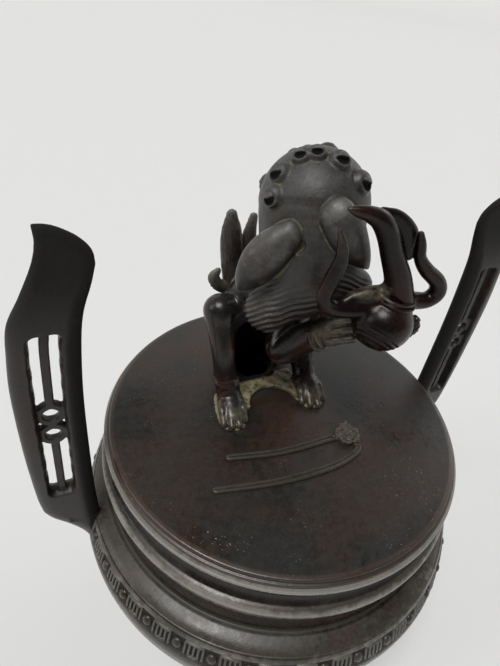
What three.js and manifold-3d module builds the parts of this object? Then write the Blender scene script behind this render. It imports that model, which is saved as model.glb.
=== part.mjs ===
// A tripod incense burner in patinated bronze: a round bowl on three legs, two tall pierced handles, a flat
// lid that lifts off, and on the lid a crouching guardian lion that holds a flaming jewel.
// Millimetres, +Z up. The origin is on the floor under the middle of the bowl, +X towards the right handle,
// and the lion faces -Y.

import * as THREE from "three";
import { mergeVertices } from "three/addons/utils/BufferGeometryUtils.js";
import Module from "manifold-3d";

// Heights of the whole
const legHeight = 30; // floor to the underside of the bowl
const bowlHeight = 95; // underside of the bowl to its rim

// Bowl, outside, from the rim down
const rimRadius = 67;
const rimThickness = 1.6;
const collarDepth = 2.6; // how far the hollow collar under the rim goes in
const collarHeight = 9.2;
const collarLip = 0.4; // the collar starts this far inside the rim's edge
const collarFoot = 1.2; // and ends this far inside the fillet
const beadRadius = 68.3;
const beadHeight = 3.8;
const beadEdge = 0.6; // the bead's edges lie this far inside the fillet
const filletRadius = 67.7;
const filletHeight = 2.4;
const neckRadius = 66.6;
const neckHeight = 11.6;
const shoulderStep = 1.6; // the shoulder starts this far outside the neck
const shoulderHeight = 4;
const shoulderBulge = 0.6; // how far its middle stands out from a straight slope
const friezeRadius = 77.4;
const friezeEdge = 1.2; // the frieze's upper and lower edges lie this far inside its middle
const friezeHeight = 10;
const arris = 0.2; // height of the small steps between mouldings
const bottomRadius = 30; // flat underside

// Bowl, inside
const bowlWall = 5;
const bowlFloor = 5;
const mouthRadius = 60;
const ledgeRadius = 56.5; // the ledge in the neck that carries the liner
const ledgeDepth = 12; // below the rim

// Ash liner
const linerGap = 0.7; // radial play in the mouth and inside the ledge
const linerWall = 1.5;
const linerLip = 1.3; // thickness of the lip that hangs on the ledge
const linerTaper = 14; // how much narrower the bottom is than the top
const linerCorner = 6; // size of the slope between its wall and its floor
const linerFloorGap = 12; // air between the liner and the bowl's floor

// Lid
const lidOverlap = 6; // how far the lid's edge reaches outside the mouth
const lidThickness = 2.7;
const lidBevel = 1; // the top face is this much smaller in radius than the lower edge
const lidStep = 1.35; // height of the upright lower edge
const lidRingDepth = 6; // locating ring that drops into the mouth
const lidRingWall = 2.4;
const lidRingGap = 0.7;
const flueRadius = 7; // smoke hole under the lion

// Handles: flat plates in the XZ plane
const handleStandoff = 5.4; // gap between the neck and the handle's inner edge
const handleThickness = 6;
const windowHalfWidth = 3.6;
const windowBarHalfWidth = 1.25;
const ringRadius = 4.2;
const ringHoleRadius = 1.9;

// Legs
const footPadRadius = 9;
const footPadHeight = 3;
const footOut = -1.5; // the foot's middle, measured out from the belly at the rivet
const legRivetHeight = 22; // above the underside of the bowl
// Each row is the distance out from the belly at the rivet, the height above the floor and the radius.
const legPath = [[-4, 56, 11], [2, 43, 10.5], [-1, 25, 7], [-4, 13, 5.6], [footOut, 5.5, 6.2]];

// Rivets, all alike
const rivetRadius = 1.5;
const rivetHeadRadius = 3.2;
const rivetHeadHeight = 1.6;
const rivetBite = 4; // how deep a rivet goes into the piece it holds

// Clearances
const fitGap = 0.3; // between pieces that seat on each other
const rivetGap = 0.3;

// Lion, measured from the middle of the lid's top face. Each row is x, y, z and radius.
const lionTrunk = [[-3, 27, 10, 14], [-2, 25, 34, 14], [2, 20, 52, 13]];
const lionRightLeg = [[-20.8, 22, 34.5, 5.6], [-21, 14.5, 21, 4.8], [-20.4, 11, 9.5, 4.5],
  [-20.2, 5.5, 3.6, 4.9], [-21, -0.6, 2.6, 4.6]];
const lionLeftLeg = [[17, 22, 33, 6], [15, 19, 18, 5.2], [14.4, 14.5, 8.5, 4.6], [13.4, 6.5, 3.6, 5],
  [12.6, -0.2, 2.6, 4.8]];
const lionRightHip = [[-4, 30, 22, 12], [-20, 22, 34, 6]];
const lionLeftHip = [[0, 30, 22, 12], [17, 22, 33, 6]];
const lionHollow = [[-2, 24, -1, 7.6], [-2, 24, 22, 8.2], [-1, 23, 36, 7]];
const lionArch = [
  [[-6.5, 24, 8.5, 7.2], [-9.5, 2, 8.5, 8.4]],
  [[-6.5, 24, 16, 7.2], [-10, 2, 16, 8.6]],
  [[-6.5, 24, 24.5, 6.8], [-10.5, 2, 27, 8]],
];
const lionHead = [[4.5, 14, 76, 17.6], [1.5, 7.4, 62, 14.6], [0.6, 3.6, 53, 9]];
const lionMuzzle = [[-11.4, 4.2, 45.8, 7.6], [-5.4, 3.4, 50.8, 8.4], [1.4, 1.6, 55, 8.4], [8, -1.4, 57, 7.6],
  [13.6, -3.8, 56, 6]];
const lionRightEar = [[-9.1, 1.1, 73.9, 3.6], [-12.3, 3, 69.6, 5], [-15.4, 5, 64, 5.4],
  [-18.6, 6.4, 58.4, 3.8], [-21, 7.1, 53.8, 1]];
const lionLeftEar = [[1.2, -2.4, 80.4, 4], [3.5, -3.6, 76.8, 4.4], [6.4, -4.6, 72.7, 4], [9.8, -6, 68.8, 2.7],
  [13.5, -7.2, 65, 1]];
const lionForeleg = [[10, 18, 40, 7], [0, 10, 26, 6], [-0.6, 6, 24.5, 5.6], [4.6, 0, 33.5, 5],
  [8.8, -6, 40.4, 4.8], [10.6, -9.6, 43.4, 4.6]];
const lionTailPlume = [[-9, 37, 30, 4], [-10.6, 38, 44, 3.9], [-11.8, 38, 55, 3.6], [-12.4, 38, 63.4, 1.8]];
const lionTailSecond = [[-9, 37, 32, 3], [-5, 39, 48, 3.2], [-2.8, 40, 61, 1.6]];
const lionTailCurl = [[-9, 37, 32, 3], [-15.5, 37, 35, 2.6], [-18, 37, 39, 2.2], [-16.4, 37, 41.6, 1.3]];

// Mane curls: round knobs on the ball of the head. The front line is given by directions from the middle of
// that ball, and the rows behind it are the same line leaned back about the line between the ears.
const curlLine = [[-16.7, -2.9, 4.9], [-14.1, -0.2, 10.6], [-8.2, -1.4, 15.5], [-4.4, -3.1, 16.7],
  [1.1, -6.9, 16.2], [7.3, -11.3, 11.3]];
const curlRows = [[0, 0, 6], [62, 2, 5], [110, 0, 6]]; // degrees of lean, first curl and end of the row
const curlAxis = [0.92, -0.32, 0.225];
const curlSeat = 16.8; // from the middle of the ball to the middle of a curl
const curlRadius = 3.4;

// Web between the lion's feet: a low plate with a round bay in its front edge.
const webMiddle = -3.4;
const webHalfWidth = 14.6;
const webFront = 2;
const webBack = 17.6;
const webTop = 1.9;
const webBay = [-3.3, 0.6, 9.8]; // x, y and radius

const lionRivets = { right_foot: [-20.5, 4], left_foot: [13.2, 5], rump: [-3, 35] };

// Jewel: its flames lie in an upright plane through its middle, turned about Z by flameTurn.
const jewelAt = [16, -18.4, 51.5];
const jewelRadius = 9.2;
const flameTurn = -12; // degrees
// Each row is sideways, up and radius, from the middle of the jewel.
const flameLeft = [[-5.6, 5.3, 2.9], [-13, 5, 2.5], [-18.6, 6.1, 2.6], [-21, 9.8, 2.3], [-20.1, 15.8, 2.3],
  [-19, 21.5, 1.9], [-19.8, 26.1, 1.4], [-21.3, 30.1, 0.7]];
const flameRight = [[6.7, 8, 2.8], [11.9, 8.1, 2.5], [14.3, 10.9, 2.6], [12.8, 14.6, 2.4], [7.8, 18.5, 2.2],
  [4.4, 22.3, 1.8], [3.1, 26.3, 1.5], [1.9, 29.5, 0.9]];
const flameMiddle = [[2.4, 7.4, 4.7], [2.2, 9.6, 4.4], [-0.5, 16.4, 3.8], [-4.4, 23.1, 3.2], [-7.3, 28.5, 3],
  [-10.6, 32.8, 2.8], [-14.5, 34.7, 2.1], [-17.5, 35.3, 1.6], [-20.4, 35.9, 0.7]];
const flameLeaf = [[-9.7, 34.3, 1.4], [-5, 32.6, 2.3], [-0.5, 28.6, 2.9], [1.8, 23.9, 2.9], [2.3, 21.9, 1.9]];
const leafBehind = 2; // how far the leaf lies behind the flames' plane

// Cord relief on the lid: x, y and radius. The cords' middles lie on the lid's top face.
const ribbonShort = [[-28.6, -16, 1.4], [-10, -19.5, 1.5], [9, -20, 1.5]];
const ribbonLong = [[-37.2, -26.3, 1.3], [-16, -30, 1.5], [4, -30.8, 1.5], [16, -28, 1.4]];
const knotAt = [16.4, -20.8];
const knotRadius = 5;
const knotHeight = 2;

// Handle outline: distance out from the handle's inner edge at the rim, and height above the lid's top.
const handleInnerEdge = [[0, -48], [0, -30], [0.1, -12], [-0.8, 21], [-2.1, 41], [-4, 56], [-7.2, 66],
  [-8.7, 71.5]];
const handleTopEdge = [[-8.7, 71.5], [-8.2, 75.2], [-5.9, 78.4], [-3, 80.6], [0.4, 82.2], [4, 82.6]];
const handleOuterEdge = [[4, 82.6], [4, 78], [5.6, 72.5], [9.6, 64.4], [13.8, 56.6], [15.6, 47.6],
  [17.4, 33], [18.5, 8], [18.6, -14], [18, -23.5]];
const handleUnderside = [[18, -23.5], [15.8, -28.3], [11.5, -34.3], [7.6, -41], [5, -48]];
// Middle line of the window: lower end, the two rings, a point above them and the upper end.
const windowMiddle = [[10.4, -13], [8.9, 15.5], [8.5, 24], [6.8, 46], [5.8, 53]];
const windowRings = [1, 2]; // the points of windowMiddle that carry a ring

// How finely round shapes are faceted
const turnSides = 36;
const ballSides = 10;
const ballRings = 8;
const limbSteps = 3; // rings between two rows of a limb
const capRings = 2; // rings round a limb's end
const rivetSides = 12;
const curveSteps = 3;
const mouldingSteps = 4;
const bellySteps = 7;

// Levels and radii that follow
const rimZ = legHeight + bowlHeight;
const collarZ = rimZ - rimThickness;
const beadZ = collarZ - collarHeight;
const filletZ = beadZ - beadHeight;
const neckZ = filletZ - filletHeight;
const shoulderZ = neckZ - neckHeight;
const friezeZ = shoulderZ - shoulderHeight;
const bellyZ = friezeZ - friezeHeight;
const shoulderRadius = neckRadius + shoulderStep;
const bellyRadius = friezeRadius - friezeEdge;
const ledgeZ = rimZ - ledgeDepth;
const lidZ = rimZ + fitGap; // underside of the lid's plate
const lidTopZ = lidZ + lidThickness;
const lidRadius = mouthRadius + lidOverlap;
const handleInner = neckRadius + handleStandoff;

const wasm = await Module();
wasm.setup();

// A closed geometry as a solid that can be joined and cut.
function solid(geometry) {
  const bare = geometry.clone();
  bare.deleteAttribute("normal");
  bare.deleteAttribute("uv");
  const merged = mergeVertices(bare);
  const corners = merged.index.array;
  const kept = [];
  for (let i = 0; i < corners.length; i += 3) {
    const [a, b, c] = corners.slice(i, i + 3);
    if (a !== b && b !== c && c !== a) kept.push(a, b, c);
  }
  const vertProperties = new Float32Array(merged.attributes.position.array);
  return new wasm.Manifold(new wasm.Mesh({ numProp: 3, vertProperties, triVerts: new Uint32Array(kept) }));
}

function join(solids) {
  return solids.reduce((whole, next) => whole.add(next));
}

// A closed profile of radius and height turned about Z, listed from the axis round the outside.
function revolve(profile) {
  const points = profile.map(([r, z]) => new THREE.Vector2(r, z));
  return solid(new THREE.LatheGeometry(points, turnSides).rotateX(Math.PI / 2));
}

// Points of a smooth curve through the given radius and height pairs.
function smooth(pairs, steps = curveSteps * pairs.length) {
  const curve = new THREE.SplineCurve(pairs.map(([r, z]) => new THREE.Vector2(r, z)));
  return curve.getPoints(steps).map((p) => [p.x, p.y]);
}

// A limb: a round tube along a smooth path through the rows, whose radius follows theirs, with round ends.
// It takes the vertex order of a sphere, so it is closed. Every radius is made larger by grow.
function limb(rows, grow = 0) {
  const radii = rows.map((row) => row[3] + grow);
  if (rows.length === 1) {
    const [x, y, z] = rows[0];
    return solid(new THREE.SphereGeometry(radii[0], ballSides, ballRings).translate(x, y, z));
  }
  const path = new THREE.CatmullRomCurve3(rows.map(([x, y, z]) => new THREE.Vector3(x, y, z)));
  const steps = limbSteps * (rows.length - 1);
  const rings = [];
  const side = new THREE.Vector3(0.3, 0.2, 1); // a direction that no limb starts along
  for (let i = -capRings; i <= steps + capRings; i += 1) {
    const at = THREE.MathUtils.clamp(i / steps, 0, 1);
    const past = (i < 0 ? i : Math.max(i - steps, 0)) / capRings; // how far round an end, from -1 to 1
    const row = Math.min(Math.floor(at * (rows.length - 1)), rows.length - 2);
    const radius = THREE.MathUtils.lerp(radii[row], radii[row + 1], at * (rows.length - 1) - row);
    const along = path.getTangent(at);
    side.addScaledVector(along, -side.dot(along)).normalize();
    const turn = (past * Math.PI) / 2;
    const middle = path.getPoint(at).addScaledVector(along, radius * Math.sin(turn));
    const across = along.clone().cross(side);
    rings.push({ middle, side: side.clone(), across, radius: radius * Math.cos(turn) });
  }
  const skin = new THREE.SphereGeometry(1, ballSides, rings.length - 1);
  const position = skin.getAttribute("position");
  rings.forEach(({ middle, side: a, across: b, radius }, ring) => {
    for (let k = 0; k <= ballSides; k += 1) {
      const angle = (-2 * Math.PI * (k % ballSides)) / ballSides;
      const point = middle.clone().addScaledVector(a, radius * Math.cos(angle));
      point.addScaledVector(b, radius * Math.sin(angle));
      position.setXYZ(ring * (ballSides + 1) + k, point.x, point.y, point.z);
    }
  });
  return solid(skin);
}

// A round bar along Z from low to high, at x and y.
function upright(radius, low, high, x = 0, y = 0, sides = rivetSides) {
  const bar = new THREE.CylinderGeometry(radius, radius, high - low, sides).rotateX(Math.PI / 2);
  return solid(bar.translate(x, y, (low + high) / 2));
}

// A round bar that points away from the Z axis, from near to far, at height z and an angle from +X.
function radial(radius, near, far, z, angle = 0) {
  const bar = new THREE.CylinderGeometry(radius, radius, far - near, rivetSides).rotateZ(Math.PI / 2);
  return solid(bar.translate((near + far) / 2, 0, z).rotateZ(THREE.MathUtils.degToRad(angle)));
}

// A box wider and taller than the whole object, above a level.
function above(level) {
  const size = 4 * (friezeRadius + bowlHeight);
  return solid(new THREE.BoxGeometry(size, size, size).translate(0, 0, level + size / 2));
}

function node(name, made, material) {
  const { numProp, vertProperties, triVerts } = made.getMesh();
  const geometry = new THREE.BufferGeometry();
  const flat = new THREE.InterleavedBuffer(vertProperties, numProp);
  geometry.setAttribute("position", new THREE.InterleavedBufferAttribute(flat, 3, 0));
  geometry.setIndex(new THREE.BufferAttribute(triVerts, 1));
  const plain = geometry.toNonIndexed();
  plain.computeVertexNormals();
  const mesh = new THREE.Mesh(plain, material);
  mesh.name = name;
  return mesh;
}

function bronze(color, roughness) {
  return new THREE.MeshStandardMaterial({ color, roughness, metalness: 0.9 });
}

const darkBronze = bronze(0x2b2420, 0.42);
const figureBronze = bronze(0x2f2a27, 0.48);
const linerCopper = bronze(0x6b3f28, 0.5);

// Radius of the belly's outside at a height, an ellipse from the frieze to the flat underside.
const bellyDepth = bellyZ - legHeight;
const bellyEnd = Math.acos(bottomRadius / bellyRadius);
function bellyAt(z) {
  return bellyRadius * Math.cos(Math.asin(((bellyZ - z) / bellyDepth) * Math.sin(bellyEnd)));
}

// The ellipse's points from a widest radius down to a flat end.
function bellyCurve(radius, flatRadius, top, bottom, steps = bellySteps) {
  const end = Math.acos(flatRadius / radius);
  return Array.from({ length: steps + 1 }, (_, i) => {
    const angle = (end * i) / steps;
    return [radius * Math.cos(angle), top - ((top - bottom) * Math.sin(angle)) / Math.sin(end)];
  });
}

// The bowl's outside from the rim down to the axis, made larger by grow.
function bowlOutside(grow = 0) {
  const collar = [
    [rimRadius - collarLip, collarZ],
    [rimRadius - collarDepth, collarZ - collarHeight / 2],
    [filletRadius - collarFoot, beadZ],
  ];
  const bead = [
    [filletRadius - beadEdge, beadZ],
    [beadRadius, beadZ - beadHeight / 2],
    [filletRadius - beadEdge, filletZ],
  ];
  const shoulder = [
    [shoulderRadius, shoulderZ - arris],
    [(shoulderRadius + bellyRadius) / 2 + shoulderBulge, shoulderZ - shoulderHeight / 3],
    [bellyRadius - arris, friezeZ],
  ];
  const edge = [
    [rimRadius, rimZ],
    [rimRadius, collarZ],
    ...smooth(collar, mouldingSteps),
    ...smooth(bead, mouldingSteps),
    [filletRadius, filletZ - arris],
    [filletRadius, neckZ],
    [neckRadius, neckZ - arris],
    [neckRadius, shoulderZ],
    ...smooth(shoulder, mouldingSteps),
    [bellyRadius, friezeZ - arris],
    [friezeRadius, friezeZ - friezeHeight / 2],
  ].map(([r, z]) => [r + grow, z]);
  const belly = bellyCurve(bellyRadius + grow, bottomRadius, bellyZ, legHeight - grow);
  return [...edge, ...belly, [0, legHeight - grow]];
}

const bowlEnvelope = revolve([[0, rimZ], ...bowlOutside(fitGap)].reverse());

// Rivets that run radially through the bowl's wall, with their heads in flat seats inside.
const legRivetZ = legHeight + legRivetHeight;
const legRivetSeat = bellyAt(legRivetZ) - bowlWall;
const handleRivetZ = friezeZ - rivetRadius;
const handleRivetSeat = bellyRadius - bowlWall;

function radialRivet(seat, end, z) {
  const head = radial(rivetHeadRadius, seat - rivetHeadHeight, seat - fitGap, z);
  return head.add(radial(rivetRadius, seat - rivetHeadHeight, end - rivetGap, z));
}

function radialRivetCut(seat, end, z, angle) {
  const seatCut = radial(rivetHeadRadius + rivetGap, seat - 2 * bowlWall, seat, z, angle);
  return seatCut.add(radial(rivetRadius + rivetGap, seat - rivetGap, end, z, angle));
}

const legRivetEnd = bellyAt(legRivetZ) + fitGap + rivetBite;
const handleRivetEnd = bellyRadius + fitGap + rivetBite;
const legAngles = { front: -90, rear_right: 30, rear_left: 150 };
const handleAngles = { right: 0, left: 180 };

// Bowl: one casting, hollow, with a ledge for the liner and holes for the rivets.
function bowl() {
  const floorZ = legHeight + bowlFloor;
  const inner = [
    [0, floorZ],
    ...bellyCurve(bellyRadius - bowlWall, bottomRadius, friezeZ - friezeHeight / 2, floorZ).reverse(),
    [ledgeRadius, shoulderZ - bowlWall],
    [ledgeRadius, ledgeZ],
    [mouthRadius, ledgeZ],
    [mouthRadius, rimZ],
  ];
  let made = revolve([...inner, ...bowlOutside()].reverse());
  Object.values(legAngles).forEach((angle) => {
    made = made.subtract(radialRivetCut(legRivetSeat, legRivetEnd, legRivetZ, angle));
  });
  Object.values(handleAngles).forEach((angle) => {
    made = made.subtract(radialRivetCut(handleRivetSeat, handleRivetEnd, handleRivetZ, angle));
  });
  return made;
}

// Leg: a cabriole form in the XZ plane, seated against the belly, with a flat round foot.
function leg() {
  const seat = bellyAt(legRivetZ);
  const rows = legPath.map(([out, z, radius]) => [seat + out, 0, z, radius]);
  const footPad = upright(footPadRadius, 0, footPadHeight, seat + footOut, 0, 2 * rivetSides);
  const hole = radial(rivetRadius + rivetGap, legRivetSeat, legRivetEnd, legRivetZ);
  return limb(rows).intersect(above(0)).add(footPad).subtract(bowlEnvelope).subtract(hole);
}

// Handle: an S-shaped plate with a pierced window, seated on the shoulder.
function handle() {
  const place = ([out, up]) => new THREE.Vector2(handleInner + out, lidTopZ + up);
  const outline = new THREE.Shape();
  outline.moveTo(...place(handleInnerEdge[0]));
  outline.splineThru(handleInnerEdge.slice(1).map(place));
  outline.splineThru(handleTopEdge.slice(1).map(place));
  outline.splineThru(handleOuterEdge.slice(1).map(place));
  outline.splineThru(handleUnderside.slice(1).map(place));
  const slab = (shape, depth, curveSegments) => {
    const flat = new THREE.ExtrudeGeometry(shape, { depth, bevelEnabled: false, curveSegments });
    return solid(flat.translate(0, 0, -depth / 2).rotateX(Math.PI / 2));
  };
  const plate = slab(outline, handleThickness, curveSteps);

  const middle = smooth(windowMiddle);
  const strip = (halfWidth) => {
    const inside = middle.map(([out, up]) => place([out - halfWidth, up]));
    const outside = middle.map(([out, up]) => place([out + halfWidth, up]));
    return slab(new THREE.Shape([...outside, ...inside.reverse()]), 2 * handleThickness, curveSteps);
  };
  const disc = (point, radius) => {
    const shape = new THREE.Shape().absarc(...place(point), radius, 0, 2 * Math.PI);
    return slab(shape, 2 * handleThickness, 2 * curveSteps);
  };
  const rings = windowRings.map((i) => windowMiddle[i]);
  const bar = join([strip(windowBarHalfWidth), ...rings.map((point) => disc(point, ringRadius))]);
  const slots = strip(windowHalfWidth).subtract(bar);
  const holes = join([slots, ...rings.map((point) => disc(point, ringHoleRadius))]);
  const rivetHole = radial(rivetRadius + rivetGap, handleRivetSeat, handleRivetEnd, handleRivetZ);
  return plate.subtract(holes).subtract(bowlEnvelope).subtract(rivetHole);
}

// Ash liner: a sheet pan that hangs by its lip on the ledge in the neck.
function ashLiner() {
  const lipRadius = mouthRadius - linerGap;
  const lipZ = ledgeZ + fitGap;
  const topRadius = ledgeRadius - linerGap;
  const floorZ = legHeight + bowlFloor + linerFloorGap;
  const footRadius = topRadius - linerTaper;
  return revolve([
    [0, floorZ],
    [footRadius - linerCorner, floorZ],
    [footRadius, floorZ + linerCorner],
    [topRadius, lipZ],
    [lipRadius, lipZ],
    [lipRadius, lipZ + linerLip],
    [topRadius - linerWall, lipZ + linerLip],
    [footRadius - linerWall, floorZ + linerCorner + linerWall / 2],
    [footRadius - linerCorner - linerWall / 2, floorZ + linerWall],
    [0, floorZ + linerWall],
  ]);
}

// Lid: a stepped plate with a locating ring, a smoke hole and holes for the lion's rivets.
function lid() {
  const ringOuter = mouthRadius - lidRingGap;
  const topRadius = lidRadius - lidBevel;
  let made = revolve([
    [0, lidZ],
    [ringOuter - lidRingWall, lidZ],
    [ringOuter - lidRingWall, lidZ - lidRingDepth],
    [ringOuter, lidZ - lidRingDepth],
    [ringOuter, lidZ],
    [lidRadius, lidZ],
    [lidRadius, lidZ + lidStep],
    [topRadius + lidBevel / 2, lidZ + lidStep],
    [topRadius, lidTopZ],
    [0, lidTopZ],
  ]);
  const low = lidZ - lidThickness;
  const high = lidTopZ + lidThickness;
  const [flueX, flueY] = lionHollow[0];
  made = made.subtract(upright(flueRadius, low, high, flueX, flueY, 2 * rivetSides));
  Object.values(lionRivets).forEach(([x, y]) => {
    made = made.subtract(upright(rivetRadius + rivetGap, low, high, x, y));
  });
  return made;
}

// Lion, in the frame of the lid's top face. The trunk is hollow: smoke comes up through the lid and out
// through the arch between the legs.
const lionTrunkLimbs = [lionTrunk, lionRightHip, lionLeftHip];
const lionLegs = [lionRightLeg, lionLeftLeg];

function limbs(all, grow = 0) {
  return join(all.map((rows) => limb(rows, grow)));
}

function web() {
  const plate = new THREE.BoxGeometry(2 * webHalfWidth, webBack - webFront, webTop);
  const [x, y, radius] = webBay;
  const bay = upright(radius, -webTop, 2 * webTop, x, y, 2 * rivetSides);
  return solid(plate.translate(webMiddle, (webFront + webBack) / 2, webTop / 2)).subtract(bay);
}

function lionBody() {
  const hole = ([x, y]) => upright(rivetRadius + rivetGap, -rivetBite, rivetBite, x, y);
  const holes = Object.values(lionRivets).map(hole);
  const trunk = limbs(lionTrunkLimbs).subtract(limbs(lionArch));
  const made = join([trunk, limbs(lionLegs), web()]).intersect(above(0));
  return made.subtract(join([limb(lionHollow), ...holes]));
}

const lionBodyEnvelope = limbs([...lionTrunkLimbs, ...lionLegs], fitGap);
const forelegEnvelope = limb(lionForeleg, fitGap);

function manePoint(direction, lean) {
  const axis = new THREE.Vector3(...curlAxis).normalize();
  const way = new THREE.Vector3(...direction).normalize();
  way.applyAxisAngle(axis, THREE.MathUtils.degToRad(-lean));
  const [x, y, z] = lionHead[0];
  return way.multiplyScalar(curlSeat).add(new THREE.Vector3(x, y, z));
}

function lionHeadSolid() {
  const curls = curlRows.flatMap(([lean, first, end]) => {
    return curlLine.slice(first, end).map((direction) => [[...manePoint(direction, lean), curlRadius]]);
  });
  const made = limbs([lionHead, lionMuzzle, lionRightEar, lionLeftEar, ...curls]);
  return made.subtract(lionBodyEnvelope).subtract(forelegEnvelope);
}

function lionTail() {
  return limbs([lionTailPlume, lionTailSecond, lionTailCurl]).subtract(lionBodyEnvelope);
}

function flameJewel() {
  const turn = THREE.MathUtils.degToRad(flameTurn);
  const [x, y, z] = jewelAt;
  const flame = (rows, behind = 0) => limb(rows.map(([side, up, radius]) => {
    const across = x + side * Math.cos(turn) - behind * Math.sin(turn);
    return [across, y + side * Math.sin(turn) + behind * Math.cos(turn), z + up, radius];
  }));
  const flames = [flame(flameLeft), flame(flameRight), flame(flameMiddle), flame(flameLeaf, leafBehind)];
  return join([limb([[x, y, z, jewelRadius]]), ...flames]).subtract(forelegEnvelope);
}

function uprightRivet() {
  const low = -lidThickness - fitGap;
  const head = upright(rivetHeadRadius, low - rivetHeadHeight, low);
  return head.add(upright(rivetRadius, low - rivetHeadHeight, rivetBite - rivetGap));
}

// Cord relief: half-round ridges and a low knob on the lid's top face.
function ribbon(rows, grow = 0) {
  return limb(rows.map(([x, y, radius]) => [x, y, 0, radius]), grow);
}

function knot() {
  const [x, y] = knotAt;
  const ball = new THREE.SphereGeometry(knotRadius, ballSides, ballRings);
  const knob = solid(ball.scale(1, 1, knotHeight / knotRadius).translate(x, y, 0));
  const cords = ribbon(ribbonShort, fitGap).add(ribbon(ribbonLong, fitGap));
  return knob.intersect(above(0)).subtract(cords);
}

// The assembly
const burner = new THREE.Group();
burner.add(node("bowl", bowl(), darkBronze));
burner.add(node("ash_liner", ashLiner(), linerCopper));

const legSolid = leg();
const legRivetSolid = radialRivet(legRivetSeat, legRivetEnd, legRivetZ);
Object.entries(legAngles).forEach(([name, angle]) => {
  const place = new THREE.Group();
  place.rotation.z = THREE.MathUtils.degToRad(angle);
  place.add(node(`leg_${name}`, legSolid, darkBronze));
  place.add(node(`leg_rivet_${name}`, legRivetSolid, darkBronze));
  burner.add(place);
});

const handleSolid = handle();
const handleRivetSolid = radialRivet(handleRivetSeat, handleRivetEnd, handleRivetZ);
Object.entries(handleAngles).forEach(([name, angle]) => {
  const place = new THREE.Group();
  place.rotation.z = THREE.MathUtils.degToRad(angle);
  place.add(node(`handle_${name}`, handleSolid, darkBronze));
  place.add(node(`handle_rivet_${name}`, handleRivetSolid, darkBronze));
  burner.add(place);
});

burner.add(node("lid", lid(), darkBronze));
const onLid = new THREE.Group();
onLid.position.z = lidTopZ;
onLid.add(node("lion_body", lionBody(), figureBronze));
onLid.add(node("lion_head", lionHeadSolid(), figureBronze));
onLid.add(node("lion_tail", lionTail(), figureBronze));
onLid.add(node("lion_foreleg", limb(lionForeleg).subtract(lionBodyEnvelope), figureBronze));
onLid.add(node("flame_jewel", flameJewel(), figureBronze));
onLid.add(node("ribbon_short", ribbon(ribbonShort).intersect(above(0)), darkBronze));
onLid.add(node("ribbon_long", ribbon(ribbonLong).intersect(above(0)), darkBronze));
onLid.add(node("ribbon_knot", knot(), darkBronze));
Object.entries(lionRivets).forEach(([name, [x, y]]) => {
  const rivet = node(`lion_rivet_${name}`, uprightRivet(), darkBronze);
  rivet.position.set(x, y, 0);
  onLid.add(rivet);
});
burner.add(onLid);

export default burner;
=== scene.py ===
"""A tripod incense burner in patinated bronze: bowl, pierced handles, lid, and a lion with a flaming jewel.

Shapes are worked out in millimetres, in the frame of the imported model, and put into meshes in metres.
"""

import bmesh
import bpy
import numpy as np

from mathutils import Matrix, Vector


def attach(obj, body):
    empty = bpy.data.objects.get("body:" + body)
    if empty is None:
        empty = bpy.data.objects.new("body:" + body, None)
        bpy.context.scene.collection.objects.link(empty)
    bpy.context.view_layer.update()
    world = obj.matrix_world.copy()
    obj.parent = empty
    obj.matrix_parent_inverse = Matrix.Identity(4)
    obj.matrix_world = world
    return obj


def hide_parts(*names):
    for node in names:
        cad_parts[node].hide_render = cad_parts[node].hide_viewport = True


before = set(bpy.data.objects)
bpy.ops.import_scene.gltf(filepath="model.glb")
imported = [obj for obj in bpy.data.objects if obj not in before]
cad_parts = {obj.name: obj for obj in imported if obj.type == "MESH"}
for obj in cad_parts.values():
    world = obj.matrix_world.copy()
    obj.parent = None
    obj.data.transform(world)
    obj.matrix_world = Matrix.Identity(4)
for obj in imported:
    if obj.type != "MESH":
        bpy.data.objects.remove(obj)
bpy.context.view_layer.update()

# Bowl
# One bronze casting, turned outside to a rim, a hollow collar, a bead, a plain neck and a round shoulder.
# The surface is a dark brown patina, rubbed pale on the edges, partly as a painted highlight, and dusty in
# the grooves, with painted shade there too.


def shader_node(tree, kind, inputs, **settings):
    """The outputs of a new shader node. Each input is given as a plain value or as a socket to link."""
    node = tree.nodes.new("ShaderNode" + kind)
    for name, value in settings.items():
        setattr(node, name, value)
    for key, value in inputs.items():
        if isinstance(value, bpy.types.NodeSocket):
            tree.links.new(value, node.inputs[key])
        else:
            node.inputs[key].default_value = value
    return node.outputs


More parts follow.
